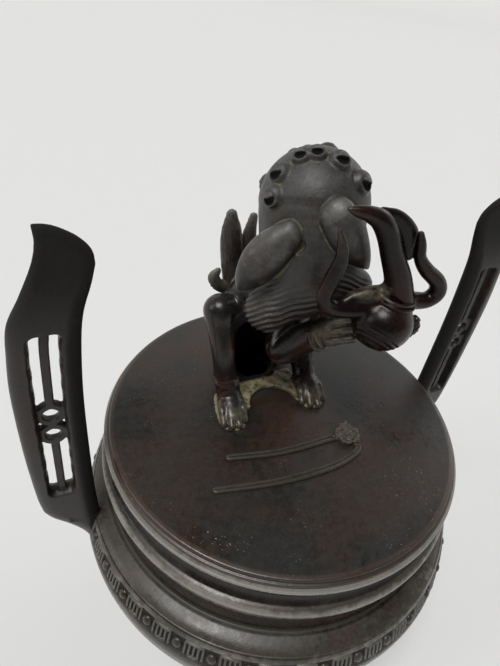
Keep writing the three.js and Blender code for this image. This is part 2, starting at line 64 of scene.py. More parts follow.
def patina_group():
    """Shader group of the old bronze surface: warm patches, a grey haze with painted top light, painted
    shade, rubbed edges with painted highlights, dust, and smoke black with painted shade.

    Colour is the ground mixed with the warm colour by a noise, then with the haze where the surface looks up,
    which is partly a grey coating and partly painted light from above, and mottled darker by a finer noise.
    It is near black where the surface lies deep, as painted shade, takes the rubbed colour where it stands
    out, which is rubbing and on some pieces a painted highlight, the dust in some hollows and wherever the
    dusty attribute is high, a pale speck at the peaks of a fine noise, and black by a per-point mark of smoke
    black and painted shade.
    """
    group = bpy.data.node_groups.new("patina", "ShaderNodeTree")
    colours = (("Ground", (0.03, 0.025, 0.021, 1)), ("Warm", (0.05, 0.016, 0.008, 1)),
               ("Film", (0.09, 0.089, 0.083, 1)), ("Worn", (0.1, 0.09, 0.08, 1)),
               ("Dust", (0.16, 0.14, 0.085, 1)))
    shares = (("Warm Share", 0.6), ("Film Share", 0.7), ("Creases", 0.8), ("Wear", 0.5), ("Dust Share", 0.4),
              ("Specks", 0.4), ("Gloss", 0.28), ("Patch Size", 60.0))
    for name, value in colours + shares:
        kind = "NodeSocketColor" if isinstance(value, tuple) else "NodeSocketFloat"
        group.interface.new_socket(name, in_out="INPUT", socket_type=kind).default_value = value
    for name, kind in (("Color", "Color"), ("Roughness", "Float"), ("Height", "Float")):
        group.interface.new_socket(name, in_out="OUTPUT", socket_type="NodeSocket" + kind)
    given = group.nodes.new("NodeGroupInput").outputs
    out = group.nodes.new("NodeGroupOutput").inputs
    place = shader_node(group, "TexCoord", {})["Object"]
    normal = shader_node(group, "NewGeometry", {})["Normal"]
    upward = shader_node(group, "SeparateXYZ", {0: normal})["Z"]

    def attribute(name):
        return shader_node(group, "Attribute", {}, attribute_name=name)["Fac"]

    def noise(scale, detail, seat=0.0, rough=0.55):
        moved = shader_node(group, "VectorMath", {0: place, 1: (seat, 0.7 * seat, -seat)})[0]
        inputs = {"Vector": moved, "Scale": scale, "Detail": detail, "Roughness": rough}
        return shader_node(group, "TexNoise", inputs)["Fac"]

    def math(kind, a, b):
        return shader_node(group, "Math", {0: a, 1: b}, operation=kind)[0]

    def plus(a, b):
        return math("ADD", a, b)

    def times(a, b):
        return math("MULTIPLY", a, b)

    def span(value, low, high):
        inputs = {"Value": value, "From Min": low, "From Max": high}
        return shader_node(group, "MapRange", inputs, interpolation_type="SMOOTHSTEP")["Result"]

    def mix(share, a, b):
        return shader_node(group, "Mix", {"Factor": share, 6: a, 7: b}, data_type="RGBA")[2]

    deep, soot, dusty = attribute("hollow"), attribute("soot"), attribute("dusty")
    broad = noise(given["Patch Size"], 4.0)
    second = noise(given["Patch Size"], 6.0, 0.31, 0.62)
    fine = noise(420.0, 5.0, 0.12, 0.65)
    grain = noise(2600.0, 2.0, 0.05)
    # Faces that look up take the grey haze colour: a grey coating, and painted light from above that makes
    # the tops lighter.
    looks_up = span(upward, -0.35, 0.85)
    patches = span(plus(broad, times(fine, 0.15)), 0.5, 0.68)
    warm = times(patches, given["Warm Share"])
    cover = span(plus(second, times(fine, 0.3)), 0.4, 0.74)
    film = times(times(looks_up, cover), given["Film Share"])
    # Near black where the surface lies deep: painted shade in hollows and folds.
    shade_in_hollows = times(span(deep, 0.06, 0.42), given["Creases"])
    patchy = plus(times(fine, 0.4), times(second, 0.5))
    # Pale where the surface stands out: rubbing, and on the bowl's mouldings and the lion's ears a painted
    # highlight.
    ridge = span(plus(times(plus(deep, patchy), -1.0), 0.39), 0.04, 0.32)
    wear = times(ridge, given["Wear"])
    uneven_fill = plus(times(fine, 0.5), times(second, 0.9))
    lying = plus(plus(deep, times(looks_up, 0.12)), math("SUBTRACT", uneven_fill, 0.7))
    in_hollows = times(span(lying, 0.3, 0.85), given["Dust Share"])
    dust = math("MAXIMUM", in_hollows, times(dusty, span(fine, 0.25, 0.65)))
    speck = times(span(noise(1900.0, 1.0, 0.4), 0.7, 0.78), given["Specks"])
    speck = times(speck, span(noise(70.0, 3.0, 0.55), 0.5, 0.66))
    speck = times(speck, plus(times(looks_up, 0.7), 0.3))
    colour = mix(warm, given["Ground"], given["Warm"])
    colour = mix(film, colour, given["Film"])
    mottle = span(noise(900.0, 4.0, 0.77, 0.6), 0.4, 0.68)
    darker = mix(film, (0.006, 0.005, 0.0042, 1), given["Ground"])
    colour = mix(times(mottle, 0.35), colour, darker)
    colour = mix(shade_in_hollows, colour, (0.004, 0.0033, 0.0028, 1))
    colour = mix(wear, colour, given["Worn"])
    colour = mix(dust, colour, given["Dust"])
    colour = mix(speck, colour, (0.4, 0.385, 0.35, 1))
    # The last mix blackens by a per-point mark: smoke black round the flue, painted shade in the lion's arch,
    # the curls' pits, along the frieze and on the handles' inner edges, and darker towards the handles' tips.
    group.links.new(mix(soot, colour, (0.0015, 0.0014, 0.0013, 1)), out["Color"])
    uneven = times(math("SUBTRACT", fine, 0.5), 0.22)
    rough = plus(plus(given["Gloss"], uneven), times(film, 0.22))
    rough = plus(rough, times(plus(dust, speck), 0.35))
    group.links.new(plus(rough, times(soot, 0.6)), out["Roughness"])
    group.links.new(plus(times(fine, 0.7), times(grain, 0.3)), out["Height"])
    return group


patina = patina_group()


def bronze(name, metal=0.15, relief=0.25, shine=0.45, **values):
    """A bronze material: the patina group with its own values, on one Principled shader with a fine bump."""
    material = bpy.data.materials.new(name)
    material.use_nodes = True
    tree = material.node_tree
    shader = tree.nodes["Principled BSDF"].inputs
    shader["Metallic"].default_value = metal
    shader["Specular IOR Level"].default_value = shine
    inputs = {key.replace("_", " ").title(): (*value, 1) if isinstance(value, tuple) else value
              for key, value in values.items()}
    surface = shader_node(tree, "Group", inputs, node_tree=patina)
    bump = shader_node(tree, "Bump", {"Strength": relief, "Distance": 0.0004, "Height": surface["Height"]})
    tree.links.new(surface["Color"], shader["Base Color"])
    tree.links.new(surface["Roughness"], shader["Roughness"])
    tree.links.new(bump["Normal"], shader["Normal"])
    return material


def placed(name, data):
    """A new object in the scene that holds a mesh, a lamp or a camera."""
    made = bpy.data.objects.new(name, data)
    bpy.context.scene.collection.objects.link(made)
    return made


def piece(name, points, faces, body, nodes, slot, material, **marks):
    """A smooth mesh from points in millimetres and faces of one kind, riding on a body for its nodes.

    Each mark is a value per point that the patina reads, such as how deep a point lies in a hollow.
    """
    mesh = bpy.data.meshes.new(name)
    mesh.vertices.add(len(points))
    mesh.vertices.foreach_set("co", (np.asarray(points) * 0.001).astype(np.float32).ravel())
    sides = faces.shape[1]
    mesh.loops.add(faces.size)
    mesh.loops.foreach_set("vertex_index", faces.astype(np.int32).ravel())
    mesh.polygons.add(len(faces))
    mesh.polygons.foreach_set("loop_start", np.arange(0, faces.size, sides, dtype=np.int32))
    for mark, values in marks.items():
        mesh.attributes.new(mark, "FLOAT", "POINT").data.foreach_set("value", values.astype(np.float32))
    mesh.update(calc_edges=True)
    welded = bmesh.new()
    welded.from_mesh(mesh)
    bmesh.ops.remove_doubles(welded, verts=welded.verts, dist=1e-7)
    welded.to_mesh(mesh)
    welded.free()
    mesh.polygons.foreach_set("use_smooth", np.ones(len(mesh.polygons), dtype=bool))
    mesh.materials.append(material)
    made = placed(name, mesh)
    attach(made, body)
    if nodes:
        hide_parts(*nodes)


def eased(corners, steps=5):
    """A profile through corners of radius, height and easing, with each corner made a short quadratic curve.

    The curve starts and ends at the easing's distance from the corner on the lines to its neighbours.
    """
    corners = np.asarray(corners, float)
    at, ease = corners[:, :2], corners[:, 2:]
    before, after = np.roll(at, 1, axis=0), np.roll(at, -1, axis=0)
    before[0], after[-1] = at[0], at[-1]
    start, stop = (at + ease * way / np.maximum(np.linalg.norm(way, axis=1, keepdims=True), 1e-9)
                   for way in (before - at, after - at))
    t = np.linspace(0, 1, steps)[None, :, None]
    curve = (1 - t) ** 2 * start[:, None] + 2 * t * (1 - t) * at[:, None] + t ** 2 * stop[:, None]
    return curve.reshape(-1, 2)


def finer(profile, most):
    """The profile with points added on its straight lines so that no step is longer than most."""
    gaps = np.linalg.norm(np.diff(profile, axis=0), axis=1)
    length = np.concatenate([[0], np.cumsum(np.maximum(gaps, 1e-9))])
    extra = [np.linspace(a, b, int(np.ceil((b - a) / most)), endpoint=False)
             for a, b in zip(length[:-1], length[1:])]
    along = np.concatenate([*extra, length[-1:]])
    return np.stack([np.interp(along, length, profile[:, k]) for k in range(2)], axis=1)


def hollows(profile, reach=2.2):
    """How deep each profile point lies between its neighbours.

    It is the neighbours' weighted mean less the point, along the outward normal, over half the reach.
    Weights fall off as a bell curve of the distance.
    """
    apart = np.linalg.norm(profile[:, None] - profile[None], axis=2)
    gaps = np.gradient(np.concatenate([[0], np.cumsum(np.linalg.norm(np.diff(profile, axis=0), axis=1))]))
    weight = np.exp(-(apart / reach) ** 2) * gaps
    mean = weight @ profile / weight.sum(axis=1, keepdims=True)
    along = np.gradient(profile, axis=0)
    normal = np.stack([along[:, 1], -along[:, 0]], axis=1)
    normal /= np.maximum(np.linalg.norm(normal, axis=1, keepdims=True), 1e-9)
    return ((mean - profile) * normal).sum(axis=1) / reach * 2


def quads(rows, columns, closed=False):
    """Faces of a grid whose point (i, j) has the number i * columns + j. The last column joins the first.

    Where closed is set, the last row joins the first too.
    """
    i, j = np.meshgrid(np.arange(rows if closed else rows - 1), np.arange(columns), indexing="ij")
    k, m = (j + 1) % columns, (i + 1) % rows
    corners = (i * columns + j, i * columns + k, m * columns + k, m * columns + j)
    return np.stack(corners, axis=-1).reshape(-1, 4)


def turned(profile, columns):
    """A profile, listed up its outside, carried round the Z axis: point (i, j) is its point i at angle j."""
    angle = np.linspace(0, 2 * np.pi, columns, endpoint=False)
    radius, height = profile[:, :1], profile[:, 1:]
    points = np.stack([radius * np.cos(angle), radius * np.sin(angle), height + 0 * angle], axis=-1)
    return points.reshape(-1, 3), quads(len(profile), columns)


def belly(radius, flat, top, bottom, steps):
    """A quarter ellipse of radius and height, from a flat end at the bottom up to the widest radius."""
    angle = np.linspace(np.arccos(flat / radius), 0, steps)
    return np.stack([radius * np.cos(angle), top - (top - bottom) * np.sin(angle) / np.sin(angle[0])], axis=1)


# The bowl's rubbed colour is pale and strong: rubbing on the edges, and a painted highlight along the bead
# and mouldings.
bowl_bronze = bronze("bowl bronze", ground=(0.024, 0.0185, 0.0142), warm=(0.05, 0.019, 0.01),
                     film=(0.086, 0.08, 0.068), worn=(0.32, 0.304, 0.27), dust=(0.17, 0.152, 0.105),
                     warm_share=0.8, wear=0.75, creases=0.95, dust_share=0.2, specks=0.6, gloss=0.24,
                     patch_size=48.0)
bowl_edge = eased([
    [77.15, 81.6, 0.3], [76.9, 83.4, 0.6], [76.2, 84.1, 0.3], [74.2, 91.4, 0.3], [74.6, 91.7, 0.2],
    [74.2, 92.8, 0.8], [72.4, 94.8, 2.0], [68.4, 96.3, 0.4], [66.9, 96.4, 0.3], [66.5, 97.2, 0.4],
    [66.6, 107.6, 0.4], [67.7, 108.0, 0.3], [67.7, 109.9, 0.3], [67.0, 110.2, 0.2], [67.3, 110.5, 0.2],
    [68.7, 111.3, 0.9], [68.7, 113.3, 0.9], [67.2, 114.2, 0.3], [66.4, 114.5, 0.3], [64.8, 116.2, 1.6],
    [64.2, 119.4, 2], [65.0, 122.2, 1.4], [66.5, 123.3, 0.3], [67.0, 123.5, 0.25], [67.0, 125.0, 0.3],
    [60.0, 125.0, 0.4], [60.0, 113.0, 0.3], [56.5, 113.0, 0.4], [56.5, 91.4, 1.0]])
bowl_bottom, bowl_floor, bowl_columns = 30, 35, 256
frieze_level, frieze_radius, frieze_lean = 87.8, 75.2, 0.27
belly_outside = belly(77.2, 30, 81.2, bowl_bottom, 26)
belly_inside = belly(71.2, 30, 87.4, bowl_floor, 20)
bowl_profile = finer(np.concatenate([
    [[0, bowl_bottom]], belly_outside, bowl_edge, belly_inside[::-1], [[0, bowl_floor]]]), 3.0)
bowl_deep = hollows(bowl_profile)
# Hollows count 1.6 times and ridges 0.6 times, which deepens the painted shade in the collar and grooves.
bowl_deep = bowl_deep * np.where(bowl_deep < 0, 0.6, 1.6)
bowl_out, bowl_level = bowl_profile.T
# Along the frieze band the bowl's wall is blackened by a per-point mark: painted shade behind and between the
# frets and bosses.
in_frieze = np.clip(4 - np.abs(bowl_level - frieze_level), 0, 0.7) * (bowl_out > 73)
piece("bowl_turned", *turned(bowl_profile, bowl_columns), "burner", ["bowl"], "bowl_bronze", bowl_bronze,
      hollow=np.repeat(bowl_deep, bowl_columns), soot=np.repeat(in_frieze, bowl_columns))

# Frieze
# Cast ornament round the widest line of the bowl: round bosses, and key frets of five upright bars between
# them. It is chased in low relief on the leaning wall, rubbed pale on the bars, with painted shade on the
# wall between them.


def relief(places, half, power, sides, height=frieze_level):
    """Copies of one rounded block on the frieze: a superellipsoid of the half sizes along, up and out.

    The places along and up of a unit ball's grid are raised to the power, with their signs. Each block is
    set at its angle and leans in with the height above the frieze's middle.
    """
    rows = 7
    u, v = np.meshgrid(np.linspace(0, 2 * np.pi, sides, endpoint=False),
                       np.linspace(-np.pi / 2, np.pi / 2, rows))

    def bent(value):
        return np.sign(value) * np.abs(value) ** power

    along = half[0] * bent(np.cos(v)) * bent(np.cos(u))
    up = half[1] * bent(np.cos(v)) * bent(np.sin(u))
    out = half[2] * np.sin(v)
    angle = places[:, None, None] + along / frieze_radius
    reach = frieze_radius - frieze_lean * (height - frieze_level + up) + out
    points = np.stack([reach * np.cos(angle), reach * np.sin(angle), height + up + 0 * angle], axis=-1)
    faces = quads(rows, sides)[None] + (np.arange(len(places)) * rows * sides)[:, None, None]
    return points.reshape(-1, 3), faces.reshape(-1, 4)


def joined(parts):
    """Several pairs of points and faces as one pair, with the faces' numbers moved on."""
    starts = np.cumsum([0] + [len(points) for points, _ in parts[:-1]])
    faces = [one + start for (_, one), start in zip(parts, starts)]
    return np.concatenate([points for points, _ in parts]), np.concatenate(faces)


boss_count, bar_gap, bar_half, bar_radius = 39, 1.6, 3.4, 76.4
block_power, block_sides = 0.45, 8
boss_angles = np.radians(-175.3) + 2 * np.pi * np.arange(boss_count) / boss_count
panel_angles = boss_angles + np.pi / boss_count
bar_turn = bar_gap / bar_radius
panel_parts = [relief(panel_angles + bar * bar_turn, (0.46, bar_half, 0.8), block_power, block_sides)
               for bar in range(-2, 3)]
for bars_joined, end in ((2, 1), (1, -1)):
    join_half = (bars_joined * bar_gap + 0.4, 0.42, 0.8)
    panel_parts.append(relief(panel_angles, join_half, block_power, block_sides,
                              height=frieze_level + end * (bar_half - 0.4)))
fret_bronze = bronze("fret bronze", ground=(0.075, 0.069, 0.058), film=(0.135, 0.128, 0.113),
                     worn=(0.17, 0.16, 0.142), dust=(0.2, 0.18, 0.13), warm_share=0.2, film_share=0.8,
                     specks=0.3, gloss=0.3)
piece("frieze_frets", *joined(panel_parts), "burner", [], "bowl_bronze", fret_bronze)
piece("frieze_bosses", *relief(boss_angles, (1.9, 1.9, 1.3), 1.0, 14), "burner", [], "bowl_bronze",
      bowl_bronze)

# Legs
# Three cast cabriole legs on round pads, each with a ring at the ankle, riveted to the belly from inside.


def path(rows, per_row=7):
    """Points of a smooth path through the rows, with every column eased alike: a Catmull-Rom spline."""
    rows = np.asarray(rows, float)
    ends = np.concatenate([[2 * rows[0] - rows[1]], rows, [2 * rows[-1] - rows[-2]]])
    t = np.linspace(0, 1, per_row, endpoint=False)[None, :, None]
    a, b, c, d = (ends[k:len(ends) - 3 + k, None] for k in range(4))
    curve = 2 * b + (c - a) * t + (2 * a - 5 * b + 4 * c - d) * t ** 2 + (3 * b - a - 3 * c + d) * t ** 3
    return np.concatenate([0.5 * curve.reshape(-1, rows.shape[1]), rows[-1:]])


def blended(a, b, soft):
    """The lesser of two fields with a fillet: lowered where they are closer together than soft."""
    near = np.maximum(soft - np.abs(a - b), 0) / soft
    return np.minimum(a, b) - near * near * soft / 4


class Clay:
    """A block of space in which a solid is modelled as a field in millimetres, below zero inside it."""

    def __init__(self, low, high, step):
        self.low = np.asarray(low, float)
        self.step = step
        self.axes = [np.arange(a, b + step, step) for a, b in zip(low, high)]
        self.field = np.full([len(axis) for axis in self.axes], 30.0)

    def part(self, low, high):
        """The slices of the block between two corners, and the coordinates in them."""
        cut = tuple(slice(*np.searchsorted(axis, (a, b))) for axis, a, b in zip(self.axes, low, high))
        x, y, z = (axis[c] for axis, c in zip(self.axes, cut))
        return cut, x[:, None, None], y[None, :, None], z[None, None, :]

    def whole(self):
        """The coordinates of the whole block."""
        x, y, z = self.axes
        return x[:, None, None], y[None, :, None], z[None, None, :]

    def near(self, rows, per_row, room, flat=None):
        """The block near a path through rows of x, y, z and radius: slices, coordinates, distance and share.

        The distance is that to the path, less its radius, and the share is that of the path's length at the
        nearest point. flat is a direction and a factor by which distances that way count for more.
        """
        line = path(rows, per_row)
        reach = line[:, 3].max() + room
        cut, x, y, z = self.part(line[:, :3].min(axis=0) - reach, line[:, :3].max(axis=0) + reach)
        best = np.full(self.field[cut].shape, 30.0)
        along = np.zeros_like(best)
        length = 0.0
        for start, stop in zip(line[:-1], line[1:]):
            step = stop[:3] - start[:3]
            long = np.linalg.norm(step)
            dx, dy, dz = x - start[0], y - start[1], z - start[2]
            t = np.clip((dx * step[0] + dy * step[1] + dz * step[2]) / long ** 2, 0, 1)
            ox, oy, oz = dx - t * step[0], dy - t * step[1], dz - t * step[2]
            square = ox * ox + oy * oy + oz * oz
            if flat is not None:
                (nx, ny, nz), factor = flat
                square = square + (factor ** 2 - 1) * (ox * nx + oy * ny + oz * nz) ** 2
            away = np.sqrt(square) - (start[3] + t * (stop[3] - start[3]))
            closer = away < best
            best = np.where(closer, away, best)
            along = np.where(closer, length + t * long, along)
            length += long
        return cut, (x, y, z), best, along / length

    def limb(self, rows, soft=1.5, flat=None, ripple=None):
        """Joins a round limb along rows of x, y, z and radius: the distance to its path less its radius.

        flat is a direction and a factor by which the limb is thinner that way. ripple adds a field of its own
        from the coordinates and the share of the path's length.
        """
        cut, place, away, along = self.near(rows, 7, soft + 3, flat)
        if ripple is not None:
            away = away + ripple(*place, along)
        self.field[cut] = blended(self.field[cut], away, soft)

    def carve(self, rows, soft=0.8):
        """Cuts a round groove or hole along rows of x, y, z and radius, with eased edges."""
        cut, _, away, _ = self.near(rows, 5, soft + 1)
        self.field[cut] = -blended(-self.field[cut], away, soft)

    def keep(self, other, soft=0.3):
        """Keeps only what also lies inside another field."""
        self.field = -blended(-self.field, -other, soft)

    def blurred(self, reach):
        """The field averaged over a cube of the reach each way, one axis at a time by running sums."""
        wide = max(int(round(reach / self.step)), 1)
        mean = self.field
        for axis in range(3):
            pad = [(0, 0)] * 3
            pad[axis] = (wide + 1, wide)
            total = np.cumsum(np.pad(mean, pad, mode="edge"), axis=axis)
            first = np.take(total, np.arange(2 * wide + 1, total.shape[axis]), axis=axis)
            last = np.take(total, np.arange(0, total.shape[axis] - 2 * wide - 1), axis=axis)
            mean = (first - last) / (2 * wide + 1)
        return mean

    def skin(self, relax=2):
        """The surface at zero as points, quads and the depth of each point in the hollows round it.

        A cell that the surface crosses holds one point, the mean of the crossings on its edges. Each grid
        edge with a crossing makes one quad between the four cells round it. Points then move to the mean of
        their neighbours a few times. Depth is the field less its blur, over the blur's reach, for two blurs.
        """
        field = self.field
        inside = field < 0
        size = np.array(field.shape)
        crossings, cells = [], []
        for axis in range(3):
            near = tuple(slice(None, -1) if k == axis else slice(1, -1) for k in range(3))
            far = tuple(slice(1, None) if k == axis else slice(1, -1) for k in range(3))
            at = np.argwhere(inside[near] != inside[far])
            first, last = field[near][tuple(at.T)], field[far][tuple(at.T)]
            at = at + np.array([0 if k == axis else 1 for k in range(3)])
            point = at.astype(float)
            point[:, axis] += first / (first - last)
            ring = []
            for one, two in ((0, 0), (-1, 0), (-1, -1), (0, -1)):
                cell = at.copy()
                cell[:, (axis + 1) % 3] += one
                cell[:, (axis + 2) % 3] += two
                ring.append((cell[:, 0] * size[1] + cell[:, 1]) * size[2] + cell[:, 2])
            ring = np.stack(ring, axis=1)
            crossings.append(point)
            cells.append(np.where((first < 0)[:, None], ring, ring[:, ::-1]))
        crossings, cells = np.concatenate(crossings), np.concatenate(cells)
        faces = np.unique(cells, return_inverse=True)[1].reshape(-1, 4)
        count = np.bincount(faces.ravel())
        points = np.stack([np.bincount(faces.ravel(), np.repeat(crossings[:, k], 4)) / count
                           for k in range(3)], axis=1)
        fine_reach, broad_reach = 1.1, 3.2
        fine, broad = self.blurred(fine_reach), self.blurred(broad_reach)
        here = tuple(np.clip(np.rint(points).astype(int), 0, size - 1).T)
        deep = (field[here] - fine[here]) / fine_reach * 1.6 + (field[here] - broad[here]) / broad_reach
        deep = np.where(deep < 0, 0.3 * deep, deep)
        pairs = np.concatenate([faces[:, [0, 1]], faces[:, [1, 2]], faces[:, [2, 3]], faces[:, [3, 0]]])
        around = np.maximum(np.bincount(pairs[:, 0], minlength=len(points)), 1)

        def neighbours(values):
            return np.bincount(pairs[:, 0], values[pairs[:, 1]], len(values)) / around

        for _ in range(relax):
            mean = np.stack([neighbours(points[:, k]) for k in range(3)], axis=1)
            points = 0.5 * points + 0.5 * mean
            deep = 0.5 * deep + 0.5 * neighbours(deep)
        return self.low + self.step * points, faces, deep


def ring_rows(centre, first, second, radius, angles):
    """Rows of x, y, z and one radius round a ring.

    Each place is the centre, plus the first arm times an angle's cosine, plus the second times its sine.
    """
    angles = angles[:, None]
    places = np.array(centre) + np.cos(angles) * first + np.sin(angles) * second
    return np.hstack([places, np.full_like(angles, radius)])


def turn(points, degrees):
    """Points turned about the Z axis."""
    cosine, sine = np.cos(np.radians(degrees)), np.sin(np.radians(degrees))
    return points @ np.array([[cosine, sine, 0], [-sine, cosine, 0], [0, 0, 1]])


leg_bronze = bronze("leg bronze", ground=(0.024, 0.019, 0.016), warm=(0.045, 0.017, 0.01),
                    film=(0.08, 0.077, 0.068), dust_share=0.35, specks=0.2, gloss=0.3, patch_size=70.0)
foot_out = 62.9
leg_clay = Clay((50, -13, -1), (79, 13, 63), 0.5)
leg_clay.limb([[60.4, 0, 56, 11], [66.4, 0, 43, 10.5], [63.4, 0, 25, 7], [60.4, 0, 13, 5.6],
               [foot_out, 0, 5.5, 6.2]], 2)
x, y, z = leg_clay.whole()
pad = np.maximum(np.hypot(x - foot_out, y) - 8.3, np.abs(z - 1.6) - 0.9) - 0.6
leg_clay.field = blended(leg_clay.field, pad, 2.5)
ankle = np.radians(np.linspace(-120, 120, 7))
leg_clay.limb(ring_rows((61.6, 0, 17.6), (5.7, 0, 0), (0, 5.7, 0), 0.8, ankle), 1.2)
wall_radius, wall_top, wall_depth, sine_at_flat = 76.5, 82.4, 52.4, 0.919
drop = np.clip((wall_top - z) / wall_depth, 0, 1) * sine_at_flat
outside_bowl = wall_radius * np.sqrt(1 - drop ** 2) - np.hypot(x, y)
leg_clay.keep(np.maximum(outside_bowl * 0.8, -z))
leg_points, leg_faces, leg_deep = leg_clay.skin()
for leg_name, leg_angle in (("front", -90), ("rear_right", 30), ("rear_left", 150)):
    piece(f"leg_{leg_name}_cast", turn(leg_points, leg_angle), leg_faces, "burner", [f"leg_{leg_name}"],
          "bowl_bronze", leg_bronze, hollow=leg_deep)

# Handles
# Two flat cast plates, S-shaped and pierced with a window of two slots, a bar and a pair of rings.
# Their edges are rounded by hand, and each is riveted to the shoulder.


def outline_distance(shape, out, up):
    """Signed distance of the grid out by up to a closed outline: to its nearest side, below zero inside.

    A point is inside where a line from it crosses the outline an odd number of times.
    """
    near = np.full(np.broadcast(out, up).shape, 1e9)
    inside = np.zeros(near.shape, bool)
    for start, stop in zip(shape, np.roll(shape, -1, axis=0)):
        run, rise = stop - start
        past, over = out - start[0], up - start[1]
        t = np.clip((past * run + over * rise) / max(run ** 2 + rise ** 2, 1e-12), 0, 1)
        near = np.minimum(near, np.hypot(past - t * run, over - t * rise))
        if rise != 0:
            inside ^= ((start[1] > up) != (stop[1] > up)) & (past < run * over / rise)
    return np.where(inside, -near, near)


def eased_step(share):
    """A smooth step from 0 to 1 as the share goes from 0 to 1: three squares less two cubes."""
    share = np.clip(share, 0, 1)
    return share * share * (3 - 2 * share)


handle_bronze = bronze("handle bronze", ground=(0.02, 0.0175, 0.015), warm=(0.026, 0.012, 0.009),
                       film=(0.055, 0.052, 0.046), worn=(0.06, 0.055, 0.048), dust=(0.16, 0.145, 0.1),
                       warm_share=0.8, film_share=0.5, wear=0.4, specks=0.5, gloss=0.34, patch_size=42.0)
handle_sides = ([[0, -48], [0, -30], [0.1, -12], [-0.8, 21], [-2.1, 41], [-4, 56], [-7.2, 66], [-8.7, 71.5]],
                [[-8.7, 71.5], [-8.2, 75.2], [-5.9, 78.4], [-3, 80.6], [0.4, 82.2], [4, 82.6]],
                [[4, 82.6], [4, 78], [5.6, 72.5], [9.6, 64.4], [13.8, 56.6], [15.6, 47.6], [17.4, 33],
                 [18.5, 8], [18.6, -14], [18, -23.5]],
                [[18, -23.5], [15.8, -28.3], [11.5, -34.3], [7.6, -41], [5, -48]])
handle_foot = np.array([72, 128])
handle_shape = np.concatenate([path(side, 6)[:-1] for side in handle_sides]) + handle_foot
window_line = path([[10.4, -13], [8.9, 15.5], [8.5, 24], [6.8, 46], [5.8, 53]], 6) + handle_foot
handle_clay = Clay((61, -4.2, 78), (92.5, 4.2, 212.5), 0.42)
x, y, z = handle_clay.whole()
plate_out, plate_up = x[:, 0], z[0]
off_middle = plate_out - np.interp(plate_up, window_line[:, 1], window_line[:, 0])
past_ends = np.maximum(window_line[0, 1] - plate_up, plate_up - window_line[-1, 1])
window_half, window_round, window_thick, slot_bar, ring_outer, ring_inner = 2.2, 1.4, 1.3, 1.25, 4.2, 2.3
rough_cut = 0.09 * np.sin(0.83 * plate_up + 0.7 * np.sign(off_middle)) + 0.05 * np.sin(2.3 * plate_up)
window = np.hypot(np.maximum(np.abs(off_middle) - window_half, 0), np.maximum(past_ends + window_round, 0))
window = window - window_round + rough_cut
rings = np.minimum(np.hypot(plate_out - 80.95, plate_up - 143.4),
                   np.hypot(plate_out - 80.5, plate_up - 151.8))
bars = np.minimum(np.abs(off_middle) - slot_bar, rings - ring_outer)
pierced = np.minimum(np.maximum(window, -bars), rings - ring_inner)
in_from_edge = outline_distance(handle_shape, plate_out, plate_up)[:, None, :]
taper_start, taper_length = 172, 38
taper = eased_step((z - taper_start) / taper_length)
half_thick = 3.0 - 1.7 * taper
edge_width = 4.6 - 2.2 * taper
across = np.maximum(in_from_edge + edge_width, 0) / edge_width * half_thick
plate = np.hypot(across, y) - half_thick
in_window = eased_step((0.9 - window) / 0.9)[:, None, :]
plate = np.maximum(plate, np.abs(y) - half_thick + in_window * (half_thick - window_thick))
hole_edge = 0.7
through, beside = np.abs(y) - half_thick + hole_edge, hole_edge - pierced[:, None, :]
rim = np.hypot(np.maximum(through, 0), np.maximum(beside, 0)) + np.minimum(np.maximum(through, beside), 0)
handle_clay.field = np.maximum(plate, rim - hole_edge)
handle_points, handle_faces, handle_deep = handle_clay.skin()
out, _, up = handle_points.T
from_edge = -outline_distance(handle_shape, out, up)
inward = out < np.interp(up, window_line[:, 1], window_line[:, 0])
# The inner edge band, which faces the lid, is blackened as painted shade, and the tapered tips grow darker
# towards the top.
on_inside = eased_step((6 - from_edge) / 3.5) * inward * (up > 96)
handle_soot = np.maximum(0.75 * on_inside, 0.7 * eased_step((up - taper_start) / 28))
for handle_name, handle_angle in (("right", 0), ("left", 180)):
    piece(f"handle_{handle_name}_cast", turn(handle_points, handle_angle), handle_faces, "burner",
          [f"handle_{handle_name}"], "bowl_bronze", handle_bronze, hollow=handle_deep, soot=handle_soot)

# Liner
# A spun copper cup that holds the ash. Its lip rests on the ledge inside the bowl's mouth.
liner_copper = bronze("liner copper", metal=0.8, ground=(0.19, 0.085, 0.05), warm=(0.1, 0.04, 0.03),
                      film=(0.08, 0.07, 0.06), worn=(0.3, 0.15, 0.09), dust=(0.3, 0.28, 0.25), wear=0.6,
                      dust_share=0.6, specks=0.3, gloss=0.38, patch_size=50.0)
liner_columns = 192
liner_profile = finer(eased([
    [0, 47, 0], [35.8, 47, 2], [41.8, 53, 3], [55.6, 112.6, 0.8], [59.3, 113.3, 0.3], [59.3, 114.6, 0.6],
    [54.6, 114.6, 0.8], [40.5, 53.9, 3], [35.1, 48.5, 2], [0, 48.5, 0]]), 4.0)
piece("liner_spun", *turned(liner_profile, liner_columns), "liner", ["ash_liner"], "liner_copper",
      liner_copper, hollow=np.repeat(hollows(liner_profile), liner_columns))

# Lid
# A flat bronze disc with a stepped edge and a ring below that keeps it centred in the mouth.
# A hole under the lion lets the smoke into the hollow figure.


def pierced_disc(rings, hole, columns):
    """A closed disc with a hole off its axis, from rings of radius, height and share of the hole's offset.

    Each ring is a circle whose centre moves from the axis towards the hole by its share. The last ring
    joins the first.
    """
    angle = np.linspace(0, 2 * np.pi, columns, endpoint=False)
    radius, height, share = (rings[:, k:k + 1] for k in range(3))
    points = np.stack([radius * np.cos(angle) + share * hole[0], radius * np.sin(angle) + share * hole[1],
                       height + 0 * angle], axis=-1).reshape(-1, 3)
    return points, quads(len(rings), columns, closed=True)[:, [0, 3, 2, 1]]


